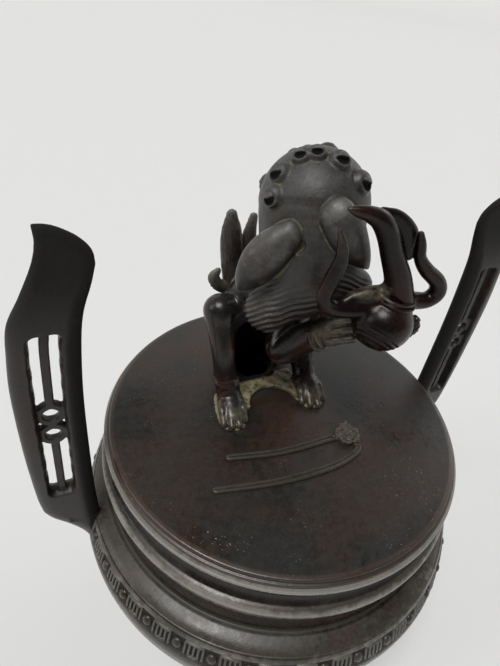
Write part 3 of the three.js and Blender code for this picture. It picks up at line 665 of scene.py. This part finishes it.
lid_bronze = bronze("lid bronze", shine=0.85, ground=(0.0075, 0.0072, 0.0056), warm=(0.05, 0.0165, 0.007),
                    film=(0.028, 0.0268, 0.0225), worn=(0.085, 0.047, 0.026), dust=(0.07, 0.064, 0.05),
                    warm_share=0.8, film_share=0.6, wear=0.4, creases=0.9, dust_share=0.25, specks=0.8,
                    gloss=0.25, patch_size=27.0)
lid_top, lid_low, lid_columns = 128.0, 125.3, 256
flue = (-2.0, 24.0)
lid_edge = eased([
    [63.6, lid_top, 0.3], [64.9, lid_top - 0.12, 0.5], [65.15, 126.75, 0.25], [66.0, 126.6, 0.35],
    [66.0, lid_low, 0.35], [59.3, lid_low, 0.3], [59.3, 119.3, 0.6], [56.9, 119.3, 0.6],
    [56.9, lid_low, 0.4]])
lid_top_rings = np.array([[7.0, lid_top, 1], [9, lid_top, 0.97], [16, lid_top, 0.8], [26, lid_top, 0.55],
                          [38, lid_top, 0.25], [50, lid_top, 0], [58, lid_top, 0], [63, lid_top, 0]])
lid_under_rings = np.array([[50, lid_low, 0], [38, lid_low, 0.25], [26, lid_low, 0.55], [14, lid_low, 0.85],
                            [7.0, lid_low, 1]])
lid_rings = np.concatenate([lid_top_rings, np.c_[lid_edge, np.zeros(len(lid_edge))], lid_under_rings])
lid_points, lid_faces = pierced_disc(lid_rings, flue, lid_columns)
lid_deep = np.zeros(len(lid_rings))
lid_deep[len(lid_top_rings):-len(lid_under_rings)] = -hollows(lid_edge, 1.6)
to_flue = np.hypot(lid_points[:, 0] - flue[0], lid_points[:, 1] - flue[1])
piece("lid_turned", lid_points, lid_faces, "lid_group", ["lid"], "lid_bronze", lid_bronze,
      hollow=np.repeat(lid_deep, lid_columns), soot=np.clip((13 - to_flue) / 4, 0, 1))

# Ribbons and knot
# Low relief on the lid: two ribbon ends with a groove down the middle, and the knot that they come from.
ribbon_clay = Clay((-40, -36, -0.6), (24, -12, 3.6), 0.3)
for ribbon in ([[-28.6, -16, 1.4], [-10, -19.5, 1.5], [9, -20, 1.5], [14, -20.6, 1.5]],
               [[-37.2, -26.3, 1.3], [-16, -30, 1.5], [4, -30.8, 1.5], [16, -28, 1.4], [18, -24, 1.2]]):
    seat = np.insert(np.array(ribbon), 2, 0.0, axis=1)
    ribbon_clay.limb(seat, 0.4, flat=((0, 0, 1), 1.15))
    ribbon_clay.carve(seat * [1, 1, 0, 0] + [0, 0, 1.35, 0.6], 0.2)
x, y, z = ribbon_clay.whole()
knot_x, knot_y = 16.4, -20.8
knot_angle = np.arctan2(y - knot_y, x - knot_x)
knot_out = np.hypot(x - knot_x, y - knot_y)
lobes = 4.6 + 0.35 * np.sin(5 * knot_angle + 0.6) + 0.2 * np.sin(9 * knot_angle)
lumps = 0.28 * np.sin(2.1 * x + 0.8 * y) * np.sin(1.7 * y - 0.6 * x)
lumps = lumps + 0.12 * np.sin(4.4 * x) * np.sin(4.1 * y)
knot = np.maximum(knot_out - lobes, np.abs(z - 0.4) - 1.45 - lumps) * 0.8
ribbon_clay.field = blended(ribbon_clay.field, knot, 0.6)
ribbon_clay.limb([[17.5, -17, 0.6, 1.2], [19.2, -15.6, 0.6, 0.9]], 0.5)
ribbon_clay.keep(-z, 0.2)
ribbon_points, ribbon_faces, ribbon_deep = ribbon_clay.skin(1)
ribbon_bronze = bronze("ribbon bronze", ground=(0.014, 0.0125, 0.01), warm=(0.04, 0.016, 0.008),
                       film=(0.034, 0.032, 0.027), worn=(0.12, 0.109, 0.092), dust=(0.13, 0.112, 0.078),
                       warm_share=0.5, film_share=0.4, wear=0.4, dust_share=0.2, specks=0.5, gloss=0.24)
off_knot = np.hypot(ribbon_points[:, 0] - knot_x, ribbon_points[:, 1] - knot_y)
# Hollows count 1.8 times, which deepens the painted shade along the ribbons' sides next to the lid.
piece("ribbons_and_knot", ribbon_points + [0, 0, lid_top], ribbon_faces, "lid_group",
      ["ribbon_short", "ribbon_long", "ribbon_knot"], "lid_bronze", ribbon_bronze,
      hollow=ribbon_deep * np.where(ribbon_deep < 0, 1.0, 1.8), dusty=0.45 * np.clip(5.6 - off_knot, 0, 1))

# Lion's body
# A hollow casting, squatting on the lid with an arched opening between the legs for the smoke.
# The trousers end in a hem above each foot, and a low web joins the feet. Riveted through the lid.


def figure_piece(node, points, faces, material, **marks):
    """A cast piece of the figure: it rides with the lid, and its heights count from the lid's top."""
    piece(f"{node}_cast", points + [0, 0, lid_top], faces, "lid_group", [node], "figure_bronze", material,
          **marks)


figure_bronze = bronze("figure bronze", ground=(0.0075, 0.0052, 0.0042), warm=(0.034, 0.008, 0.0045),
                       film=(0.07, 0.068, 0.062), worn=(0.1, 0.092, 0.082), dust=(0.3, 0.262, 0.152),
                       warm_share=0.9, film_share=0.3, specks=0.3, gloss=0.21, patch_size=75.0)
body_clay = Clay((-31, -10, -0.8), (27, 47, 71), 0.45)
body_clay.limb([[-3, 27, 10, 14], [-2, 25, 34, 14], [2, 20, 52, 13]], 3)
for hip in ([[-4, 30, 22, 12], [-20, 22, 34, 6]], [[0, 30, 22, 12], [17, 22, 33, 6]]):
    body_clay.limb(hip, 4)
body_clay.carve([[-2, 24, -1, 7.6], [-2, 24, 22, 8.2], [-1, 23, 36, 7]], 0.8)
for arch in ([[-6.5, 24, 8.5, 7.4], [-9.5, 2, 8.5, 8.5]], [[-6.5, 24, 16, 7.4], [-10, 2, 16, 8.8]],
             [[-6.5, 24, 24.5, 7], [-10.5, 2, 27, 8.2]]):
    body_clay.carve(arch, 1.2)
body_clay.limb([[-20.8, 22, 34.5, 5.6], [-21, 14.5, 21, 4.4], [-20.6, 11.5, 11, 4.2], [-20, 10, 8, 4.3]], 2)
body_clay.limb([[17, 22, 33, 6], [15, 19, 18, 5], [14.4, 14, 8, 4.4]], 2.5)
for foot in ([[-20, 10.5, 8, 4.3], [-19.9, 7.6, 4.4, 4.8], [-20.2, 4.6, 2.8, 5.2], [-21, 0.6, 1.6, 4.6]],
             [[14.4, 14, 8, 4.4], [13.8, 9.4, 4.4, 4.9], [13.2, 5.4, 2.8, 5.4], [12.6, 1.2, 1.6, 4.7]]):
    body_clay.limb(foot, 1.2, flat=((0, 0, 1), 1.3))
toes = (((-24.3, 5.2), (-25.6, -2.4)), ((-21.6, 4.4), (-23.2, -4.4)), ((-19, 3.8), (-20.4, -4.7)),
        ((-16.5, 3.4), (-17.6, -3.1)), ((9.2, 5), (7.6, -1.4)), ((11.6, 4.8), (10.2, -3.6)),
        ((14.2, 5), (13.2, -4.6)), ((17, 5.8), (16.6, -2.4)))
for root, tip in np.array(toes):
    first_joint, last_joint = 0.62 * root + 0.38 * tip, 0.25 * root + 0.75 * tip
    body_clay.limb([[*root, 4.2, 1.2], [*first_joint, 3.9, 1.6], [*last_joint, 2.5, 1.25],
                    [*tip, 1.3, 1.35]], 0.3)
    nail = tip + 0.09 * (tip - root)
    body_clay.limb([[*(0.85 * tip + 0.15 * root), 2.4, 0.8], [*nail, 1.0, 0.65]], 0.2)
for flange in ([[-20, 10, 0, 5.0], [-20.3, 4.5, 0, 6.0], [-21.1, -0.4, 0, 5.7]],
               [[14.2, 12, 0, 5.0], [13, 5.6, 0, 6.0], [12.5, 0.5, 0, 5.6]]):
    body_clay.limb(flange, 0.4, flat=((0, 0, 1), 9.0))
for strap in ([[-25.6, 6.4, 4, 0.4], [-20, 5.4, 6.2, 0.4], [-14.4, 4, 4, 0.4]],
              [[7.2, 6.2, 4, 0.4], [13, 6, 6.2, 0.4], [19, 6.8, 4, 0.4]]):
    body_clay.carve(strap, 0.3)
x, y, z = body_clay.whole()
web = np.maximum(np.abs(x + 3.4) - 14.6, np.maximum(y - 17.6, 2 - y))
web = np.maximum(web, 9.8 - np.hypot(x + 3.3, y - 0.6))
web = np.maximum(web, np.abs(z - 0.6) - 1.3 - 0.25 * np.sin(0.9 * x) * np.sin(0.8 * y))
body_clay.field = blended(body_clay.field, web, 1.8)
hem_angles = np.linspace(0, 2 * np.pi, 13)
for hem, tilt in (((-20.4, 11.2, 10.6), -0.1), ((14.5, 15.2, 10.2), 0.03)):
    body_clay.limb(ring_rows(hem, (4.4, 0, tilt), (0, 4.4, 0.9), 0.75, hem_angles), 0.7)
spine = [[-5, 41.6, 12, 1.6], [-3, 40.4, 30, 1.8], [1, 34, 48, 1.8], [3, 31, 58, 1.6]]
body_clay.limb(spine, 1.2, ripple=lambda x, y, z, along: 0.5 * np.sin(2 * np.pi * along * 11))
swirl_angles = np.linspace(0, 4 * np.pi, 25)
spread = 3.9 * (1 - swirl_angles[:, None] / (5 * np.pi))
for swirl, spin in (((-23.6, 25.6, 30), 1), ((20.6, 25.6, 29), -1)):
    body_clay.limb(ring_rows(swirl, spread * [0, 1, 0], spread * [0, 0, spin], 0.75, swirl_angles), 0.6)
body_clay.keep(-z, 0.2)
body_points, body_faces, body_deep = body_clay.skin()
across, back, height = body_points.T
on_web = (height < 2.8) * (np.abs(across + 3.4) < 15) * (back < 18) * (back > 1) * (height > 0.3)
at_feet = np.maximum(np.clip(2.2 - 1.6 * height, 0, 1), 0.3 * np.clip(6 - height, 0, 1)) * (back < 15)
# Black inside the flue, where the smoke passes, and on the walls of the arched opening, where it is painted
# shade that keeps the opening dark.
in_flue = np.hypot(across - flue[0], back - flue[1]) - 9.4
in_arch = np.maximum(np.hypot(across + 8.4, np.maximum(np.abs(height - 15) - 13, 0)) - 9.8, 15 - back)
sooty = np.clip(0.5 - np.minimum(in_flue, in_arch), 0, 1) * (height < 42)
figure_piece("lion_body", body_points, body_faces, figure_bronze, hollow=body_deep, soot=sooty,
             dusty=np.maximum(0.95 * on_web, 0.75 * at_feet))

# Lion's head
# Cast with the mane in three rows of snail curls, long drooping ears and a broad wrinkled muzzle.
# It bows forward over the jewel and is brazed to the neck.
head_bronze = bronze("head bronze", relief=0.45, shine=0.55, ground=(0.019, 0.0163, 0.0135),
                     warm=(0.03, 0.014, 0.009), film=(0.078, 0.077, 0.072), worn=(0.19, 0.183, 0.168),
                     dust=(0.2, 0.178, 0.11), warm_share=0.7, film_share=0.85, wear=0.55, dust_share=0.8,
                     specks=0.55, gloss=0.36, patch_size=65.0)
head_clay = Clay((-27, -14, 38), (26, 37, 99), 0.335)
crown = np.array([4.5, 14, 76])
head_side = np.array([0.92, -0.32, 0.225])
head_ahead = np.array([-0.178, -0.545, -0.82])
head_up = np.cross(head_side, head_ahead)
head_clay.limb([[*crown, 17.4], [1.5, 7.4, 62, 14.6], [0.6, 3.6, 53, 9]], 2)
snout = np.array([1, 2.5, 54.5])


def distance_along(place, origin, way):
    """Distance of coordinates from an origin along a way: the sum of their differences times its parts."""
    return sum((at - start) * part for at, start, part in zip(place, origin, way))


def off_rows(points, rows):
    """Distance of points to the nearest of the balls that the rows of x, y, z and radius stand for."""
    return np.min([np.linalg.norm(points - row[:3], axis=1) - row[3] for row in rows], axis=0)


def wrinkles(x, y, z, along):
    """Folds across the muzzle: a wave of the distance ahead, bent back by the distance to the side."""
    ahead = distance_along((x, y, z), snout, head_ahead)
    side = distance_along((x, y, z), snout, head_side)
    fold = ahead - 0.3 * np.sqrt(side ** 2 + 4) + 0.2 * np.sin(side * 0.7)
    depth = np.clip((fold + 9) / 5, 0, 1)
    lesser = 0.07 * np.sin(2 * np.pi * fold / 0.9 + side * 0.4)
    return depth * (0.26 * np.sin(2 * np.pi * fold / 1.7) + lesser)


muzzle = [[-11.4, 4.2, 45.8, 7.6], [-5.4, 3.4, 50.8, 8.4], [1.4, 1.6, 55, 8.4], [8, -1.4, 57, 7.6],
          [13.6, -3.8, 56, 6]]
head_clay.limb(muzzle, 5, ripple=wrinkles)
head_clay.carve([[-9.6, -2.4, 70.2, 1.6], [-8.2, -0.8, 70.8, 2.2]], 1.0)
right_ear = [[-9.1, 1.1, 73.9, 3.8], [-12.3, 2.4, 69.9, 5.7], [-15.9, 4.4, 64.3, 6.4], [-18.9, 6, 58.4, 4.5],
             [-21.2, 7.1, 53.6, 0.9]]
left_ear = [[1.4, -3, 80.2, 5.4], [3.7, -4.3, 76.8, 6.0], [6.6, -5.2, 72.8, 5.3], [10, -6.4, 68.8, 3.5],
            [13.6, -7.3, 64.9, 0.9]]
for ear, outward in ((right_ear, head_up - 0.6 * head_side), (left_ear, head_up + 0.25 * head_side)):
    head_clay.limb(ear, 0.35, flat=(outward / np.linalg.norm(outward), 1.7))


def snail_curl(centre, normal, size):
    """The two cuts of a curl on its knob: a wide pit on the side of the brow, and a thin line round it.

    The pit goes from side to side with a slight bend and is deepest in the middle. The line is part of a
    circle over the top. Both are set at the height of the knob's ball, the pit below it.
    """
    brow = head_ahead - (head_ahead @ normal) * normal
    brow /= np.linalg.norm(brow)
    side = np.cross(normal, brow)
    across = np.linspace(-1, 1, 7)[:, None]
    around = np.linspace(1.5, 4.8, 9)[:, None]
    pit = 0.5 * brow + 0.4 * across * side - 0.16 * across ** 2 * brow
    line = 0.3 * brow + 0.62 * (np.cos(around) * brow + np.sin(around) * side)
    cuts = []
    for place, sink, radius in ((pit, 0.16, 0.3 - 0.14 * across ** 2), (line, -0.02, 0.1 + 0 * around)):
        raised = np.sqrt(np.maximum(1 - (place ** 2).sum(axis=1, keepdims=True), 0)) - sink
        cuts.append(np.hstack([centre + size * (place + normal * raised), size * radius]))
    return cuts


curl_line = np.array([[-16.7, -2.9, 4.9], [-14.1, -0.2, 10.6], [-8.2, -1.4, 15.5], [-4.4, -3.1, 16.7],
                      [1.1, -6.9, 16.2], [7.3, -11.3, 11.3]])
curl_size = np.array([3.7, 3.7, 3.1, 3.1, 3.7, 4.1])
mane_axis, mane_radius = head_side / np.linalg.norm(head_side), 20.0
pits = []
for lean, first_curl, end_curl in ((0, 0, 6), (62, 2, 5), (110, 0, 6)):
    cosine, sine = np.cos(np.radians(-lean)), np.sin(np.radians(-lean))
    line, sizes = curl_line[first_curl:end_curl], curl_size[first_curl:end_curl]
    leaned = line * cosine + np.cross(mane_axis, line) * sine
    leaned = leaned + mane_axis * (line @ mane_axis)[:, None] * (1 - cosine)
    for unit, size in zip(leaned / np.linalg.norm(leaned, axis=1, keepdims=True), sizes):
        knob = crown + unit * (mane_radius - size)
        pit, line_round = snail_curl(knob, unit, size)
        head_clay.limb([[*(knob - unit), size], [*knob, size]], 0.6)
        head_clay.carve(pit, 0.15)
        head_clay.carve(line_round, 0.1)
        pits.append(pit)
head_points, head_faces, head_deep = head_clay.skin()
to_pits = off_rows(head_points, np.concatenate(pits))
to_ears = off_rows(head_points, np.concatenate([path(ear)[:15] for ear in (right_ear, left_ear)]))
# Hollows count 1.2 times, which deepens the painted shade, and the ears' hollow is lowered so that they take
# more of the pale rubbed colour: a painted highlight.
head_deep = head_deep * 1.2 - 0.09 * np.clip(1.2 - to_ears, 0, 1) * (head_deep < 0.03)
# The curls' pits are blackened by a per-point mark: painted shade.
figure_piece("lion_head", head_points, head_faces, head_bronze, hollow=head_deep,
             soot=np.clip(0.9 - 5 * to_pits, 0, 1))

# Lion's foreleg
# Cast apart and set under the chest. The paw holds the jewel from below with four fingers.
paw_clay = Clay((-9, -19, 14), (20, 28, 56), 0.38)
paw_clay.limb([[10, 18, 40, 7], [0, 10, 26, 6], [-0.6, 6, 24.5, 5.6], [4.6, 0.2, 34, 5.3],
               [8.6, -5.8, 40.8, 4.9]], 2)
finger_way = np.array([0.36, -0.74, 0.57])
stack_way = np.cross(np.cross(finger_way, [0.164, 0.603, 0.781]), finger_way)
stack_way /= np.linalg.norm(stack_way)
toward_view = np.cross(stack_way, finger_way)
for place, long in ((-1.5, 10.6), (-0.5, 12), (0.5, 12), (1.5, 10.8)):
    root = np.array([7.7, -3.9, 39.5]) + stack_way * place * 3.0 - toward_view * 1.2
    tip = root + finger_way * long + toward_view * 0.6 + stack_way * 0.9
    knuckle = root + 0.35 * (tip - root) - toward_view * 1.8
    joint = root + 0.72 * (tip - root) - toward_view * 1.6
    paw_clay.limb([[*root, 1.4], [*knuckle, 1.7], [*joint, 1.5], [*tip, 1.4]], 0.1)
wrist_angles = np.linspace(0, 2 * np.pi, 15)
for wrist, wide in (((6.1, -2.8, 36.0), 4.9), ((7.2, -4.4, 37.8), 4.8)):
    paw_clay.limb(ring_rows(wrist, wide * stack_way, wide * toward_view, 0.6, wrist_angles), 0.5)
paw_points, paw_faces, paw_deep = paw_clay.skin()
on_paw = np.clip(((paw_points - [6.4, -2.4, 36]) @ finger_way) / 2, 0, 1)
paw_deep = paw_deep * np.where(paw_deep < 0, 1 + 2.5 * on_paw, 1)
figure_piece("lion_foreleg", paw_points, paw_faces, figure_bronze, hollow=paw_deep, dusty=0.2 * on_paw)

# Lion's tail
# Flat plumes with combed hair lines and a small curl, set into the rump.
tail_clay = Clay((-24, 31, 24), (4, 46, 68), 0.36)


def combed(x, y, z, along):
    """Hair lines along a plume: a wave of the distance across it, bent with the height."""
    return 0.11 * np.sin(2 * np.pi * (x + 0.08 * z + 0.003 * (z - 45) ** 2) / 1.1)


for plume in ([[-9, 37, 30, 4], [-10.6, 38, 44, 4.2], [-11.8, 38, 55, 4.0], [-12.4, 38, 63.4, 2.0]],
              [[-9, 37, 32, 3], [-5, 39, 48, 3.4], [-2.8, 40, 61, 1.6]],
              [[-9, 37, 32, 3], [-15.5, 37, 35, 2.6], [-18, 37, 39, 2.2], [-16.4, 37, 41.6, 1.3]]):
    tail_clay.limb(plume, 0.6, flat=((0.2, 0.98, 0), 1.5), ripple=combed)
tail_points, tail_faces, tail_deep = tail_clay.skin()
figure_piece("lion_tail", tail_points, tail_faces, head_bronze, hollow=tail_deep,
             dusty=0.3 * np.clip((46 - tail_points[:, 2]) / 10, 0, 1))

# Flaming jewel
# A ball with turned lines below and three flames above, cast in one and brazed into the paw.
# The middle flame is bound by a double band and has a broad leaf at its tip.
jewel, ball_radius = np.array([16, -18.4, 51.5]), 9.3
flame_side = np.array([np.cos(np.radians(-12)), np.sin(np.radians(-12)), 0])
flame_back = np.array([-flame_side[1], flame_side[0], 0])


def flame_rows(rows, back=0.0):
    """Rows of x, y, z and radius from rows of place to the side, place up and radius in the flames' plane."""
    rows = np.array(rows, float)
    place = jewel + rows[:, :1] * flame_side + rows[:, 1:2] * [0, 0, 1] + back * flame_back
    return np.hstack([place, rows[:, 2:]])


jewel_clay = Clay((-11, -32, 40), (35, -4, 92), 0.32)
x, y, z = jewel_clay.whole()
ball = np.sqrt((x - jewel[0] + 0.3) ** 2 + (y - jewel[1]) ** 2 + ((z - jewel[2] - 0.4) * 1.06) ** 2)
ball = ball - ball_radius
line_axis = np.array([-0.6, -0.33, -0.73])
below = distance_along((x, y, z), jewel, line_axis)
turned_lines = 0.15 * eased_step((below - 3) / 2) * np.sin(2 * np.pi * below / 1.2)
jewel_clay.field = np.minimum(jewel_clay.field, ball + turned_lines)
for flame in ([[-5.6, 5.3, 2.9], [-13, 5, 2.5], [-18.6, 6.1, 2.6], [-21, 9.8, 2.3], [-20.1, 15.8, 2.3],
               [-19, 21.5, 1.9], [-19.8, 26.1, 1.4], [-21.3, 30.1, 0.6]],
              [[6.7, 8, 2.8], [11.9, 8.1, 2.5], [14.3, 10.9, 2.6], [12.8, 14.6, 2.4], [7.8, 18.5, 2.15],
               [4.4, 22.3, 1.75], [3.1, 26.3, 1.5], [1.9, 29.5, 0.9]],
              [[2.4, 7.4, 4.7], [2.2, 9.6, 4.4], [-0.5, 16.4, 3.8], [-4.4, 23.1, 3.2], [-7.3, 28.5, 3.0],
               [-10.6, 32.8, 2.8], [-14.5, 34.7, 2.1], [-17.5, 35.3, 1.6], [-20.4, 35.9, 0.6]]):
    jewel_clay.limb(flame_rows(flame), 1.2)
leaf = [[-9.7, 34.3, 1.4], [-5, 32.6, 2.3], [-0.5, 28.6, 2.9], [1.8, 23.9, 2.9], [2.3, 21.9, 1.9]]
jewel_clay.limb(flame_rows(leaf, 2.6), 0.4, flat=(flame_back, 1.7))
jewel_clay.limb(flame_rows([[-15.5, 6.8, 1.4], [-10, 9, 2.2], [-5, 9.8, 2.6], [-1, 9.4, 2.6]], 1.2), 2.2)
band_angles = np.linspace(0, 2 * np.pi, 17)
for level, wide in ((8.2, 5.6), (9.7, 5.3)):
    band = jewel + flame_side * (1.6 - 0.3 * (level - 8.2)) + [0, 0, level]
    band_rows = ring_rows(band, wide * flame_side + [0, 0, -0.9], wide * flame_back, 0.55, band_angles)
    jewel_clay.limb(band_rows, 0.35)
jewel_clay.limb(flame_rows([[8.4, -2.5, 1.8], [9.6, -0.4, 1.9], [9.2, 2, 1.6]], -2.0), 0.6,
                ripple=lambda x, y, z, along: 0.3 * np.sin(3.1 * x) * np.sin(3.4 * z))
jewel_points, jewel_faces, jewel_deep = jewel_clay.skin()
jewel_bronze = bronze("jewel bronze", shine=0.28, ground=(0.005, 0.0016, 0.0014),
                      warm=(0.024, 0.0026, 0.0019), film=(0.05, 0.048, 0.043), worn=(0.08, 0.074, 0.066),
                      dust=(0.17, 0.15, 0.095), warm_share=0.7, film_share=0.15, wear=0.4, specks=0.15,
                      gloss=0.26, patch_size=85.0)
jewel_across, jewel_up = (jewel_points - jewel) @ flame_side, jewel_points[:, 2] - jewel[2]
on_bridge = np.clip(6 - np.abs(jewel_across + 8), 0, 1) * np.clip(jewel_up - 9.2, 0, 1) * (jewel_up < 14)
figure_piece("flame_jewel", jewel_points, jewel_faces, jewel_bronze, hollow=jewel_deep, dusty=0.5 * on_bridge)

# Rivets
# Bronze pins with domed heads, hammered over; the solids already have their shape.
rivet_bronze = bronze("rivet bronze", warm_share=0.4, wear=0.4, gloss=0.34)
for node_name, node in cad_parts.items():
    if "_rivet_" in node_name:
        node.data.materials.clear()
        node.data.materials.append(rivet_bronze)

# Stage
# A pale floor that sweeps up far behind, under plain studio light: a soft lamp overhead, a weak one on each
# side, and a room that is pale low down behind and dim elsewhere. The camera sees the room in one pale tone,
# and has the photograph's place and tilt.
far_way = (0.473, 0.881, 0)
sweep_columns = 48
sweep_angles = np.linspace(0.1, 1.3, 12)
sweep_radius = np.concatenate([[0.0, 5, 14], 14 + 16 * np.sin(sweep_angles)])
sweep_height = np.concatenate([[0.0, 0, 0], 16 * (1 - np.cos(sweep_angles))])
sweep_points, sweep_faces = turned(np.stack([sweep_radius, sweep_height], axis=1), sweep_columns)
behind = sweep_points[sweep_faces].mean(axis=1) @ far_way > 0
sweep_faces = sweep_faces[behind | (np.arange(len(sweep_faces)) < 2 * sweep_columns)]
floor_middle = list(range(sweep_columns, 2 * sweep_columns))
floor_mesh = bpy.data.meshes.new("floor")
floor_mesh.from_pydata(sweep_points.tolist(), [], sweep_faces[sweep_columns:, ::-1].tolist() + [floor_middle])
floor = placed("floor", floor_mesh)
floor_paint = bpy.data.materials.new("pale floor")
floor_paint.use_nodes = True
floor_shader = floor_paint.node_tree.nodes["Principled BSDF"]
floor_shader.inputs["Base Color"].default_value = (0.8, 0.805, 0.79, 1)
floor_shader.inputs["Roughness"].default_value = 0.8
floor_shader.inputs["Specular IOR Level"].default_value = 0.1
floor_mesh.materials.append(floor_paint)

studio = bpy.data.worlds.new("studio")
bpy.context.scene.world = studio
studio.use_nodes = True
sky = studio.node_tree
sky_way = shader_node(sky, "TexCoord", {})["Generated"]
sky_strength = 1.0
for sky_axis, sky_low, sky_high in (((0, 0, -1), -0.82, -0.45), (far_way, -0.25, 0.55)):
    sky_dot = shader_node(sky, "VectorMath", {0: sky_way, 1: sky_axis}, operation="DOT_PRODUCT")["Value"]
    sky_span = {"Value": sky_dot, "From Min": sky_low, "From Max": sky_high, "To Min": 0.05,
                "To Max": sky_strength}
    sky_strength = shader_node(sky, "MapRange", sky_span, interpolation_type="SMOOTHSTEP")["Result"]
sky_ray = shader_node(sky, "LightPath", {})["Is Camera Ray"]
sky_seen = shader_node(sky, "Mix", {"Factor": sky_ray, "A": sky_strength, "B": 0.74})["Result"]
sky.nodes["Background"].inputs["Color"].default_value = (0.98, 0.99, 1.0, 1)
sky.links.new(sky_seen, sky.nodes["Background"].inputs["Strength"])

for lamp_name, lamp_power, lamp_spread, lamp_from in (("overhead light", 2.3, 26, (-0.36, -0.22, 1.0)),
                                                      ("left light", 0.4, 22, (-1.0, 0.15, 0.5)),
                                                      ("right light", 0.3, 22, (1.0, 0.3, 0.45))):
    lamp = bpy.data.lights.new(lamp_name, "SUN")
    lamp.energy = lamp_power
    lamp.angle = np.radians(lamp_spread)
    lamp_stand = placed(lamp_name, lamp)
    lamp_stand.rotation_euler = (-Vector(lamp_from)).to_track_quat("-Z", "Y").to_euler()

camera_data = bpy.data.cameras.new("camera")
camera_data.lens = 24.32
camera_data.sensor_width = 36.0
camera_data.clip_start = 0.01
camera = placed("camera", camera_data)
camera_right = (0.91321, -0.39209, 0.11097)
camera_up = (0.16397, 0.60288, 0.78080)
camera_ahead = (0.37305, 0.69484, -0.61484)
camera_place = (-0.07258, -0.09990, 0.25692)
camera.matrix_world = Matrix([[camera_right[k], camera_up[k], -camera_ahead[k], camera_place[k]]
                              for k in range(3)] + [[0, 0, 0, 1]])
bpy.context.scene.camera = camera

bpy.context.scene.view_settings.view_transform = "Standard"
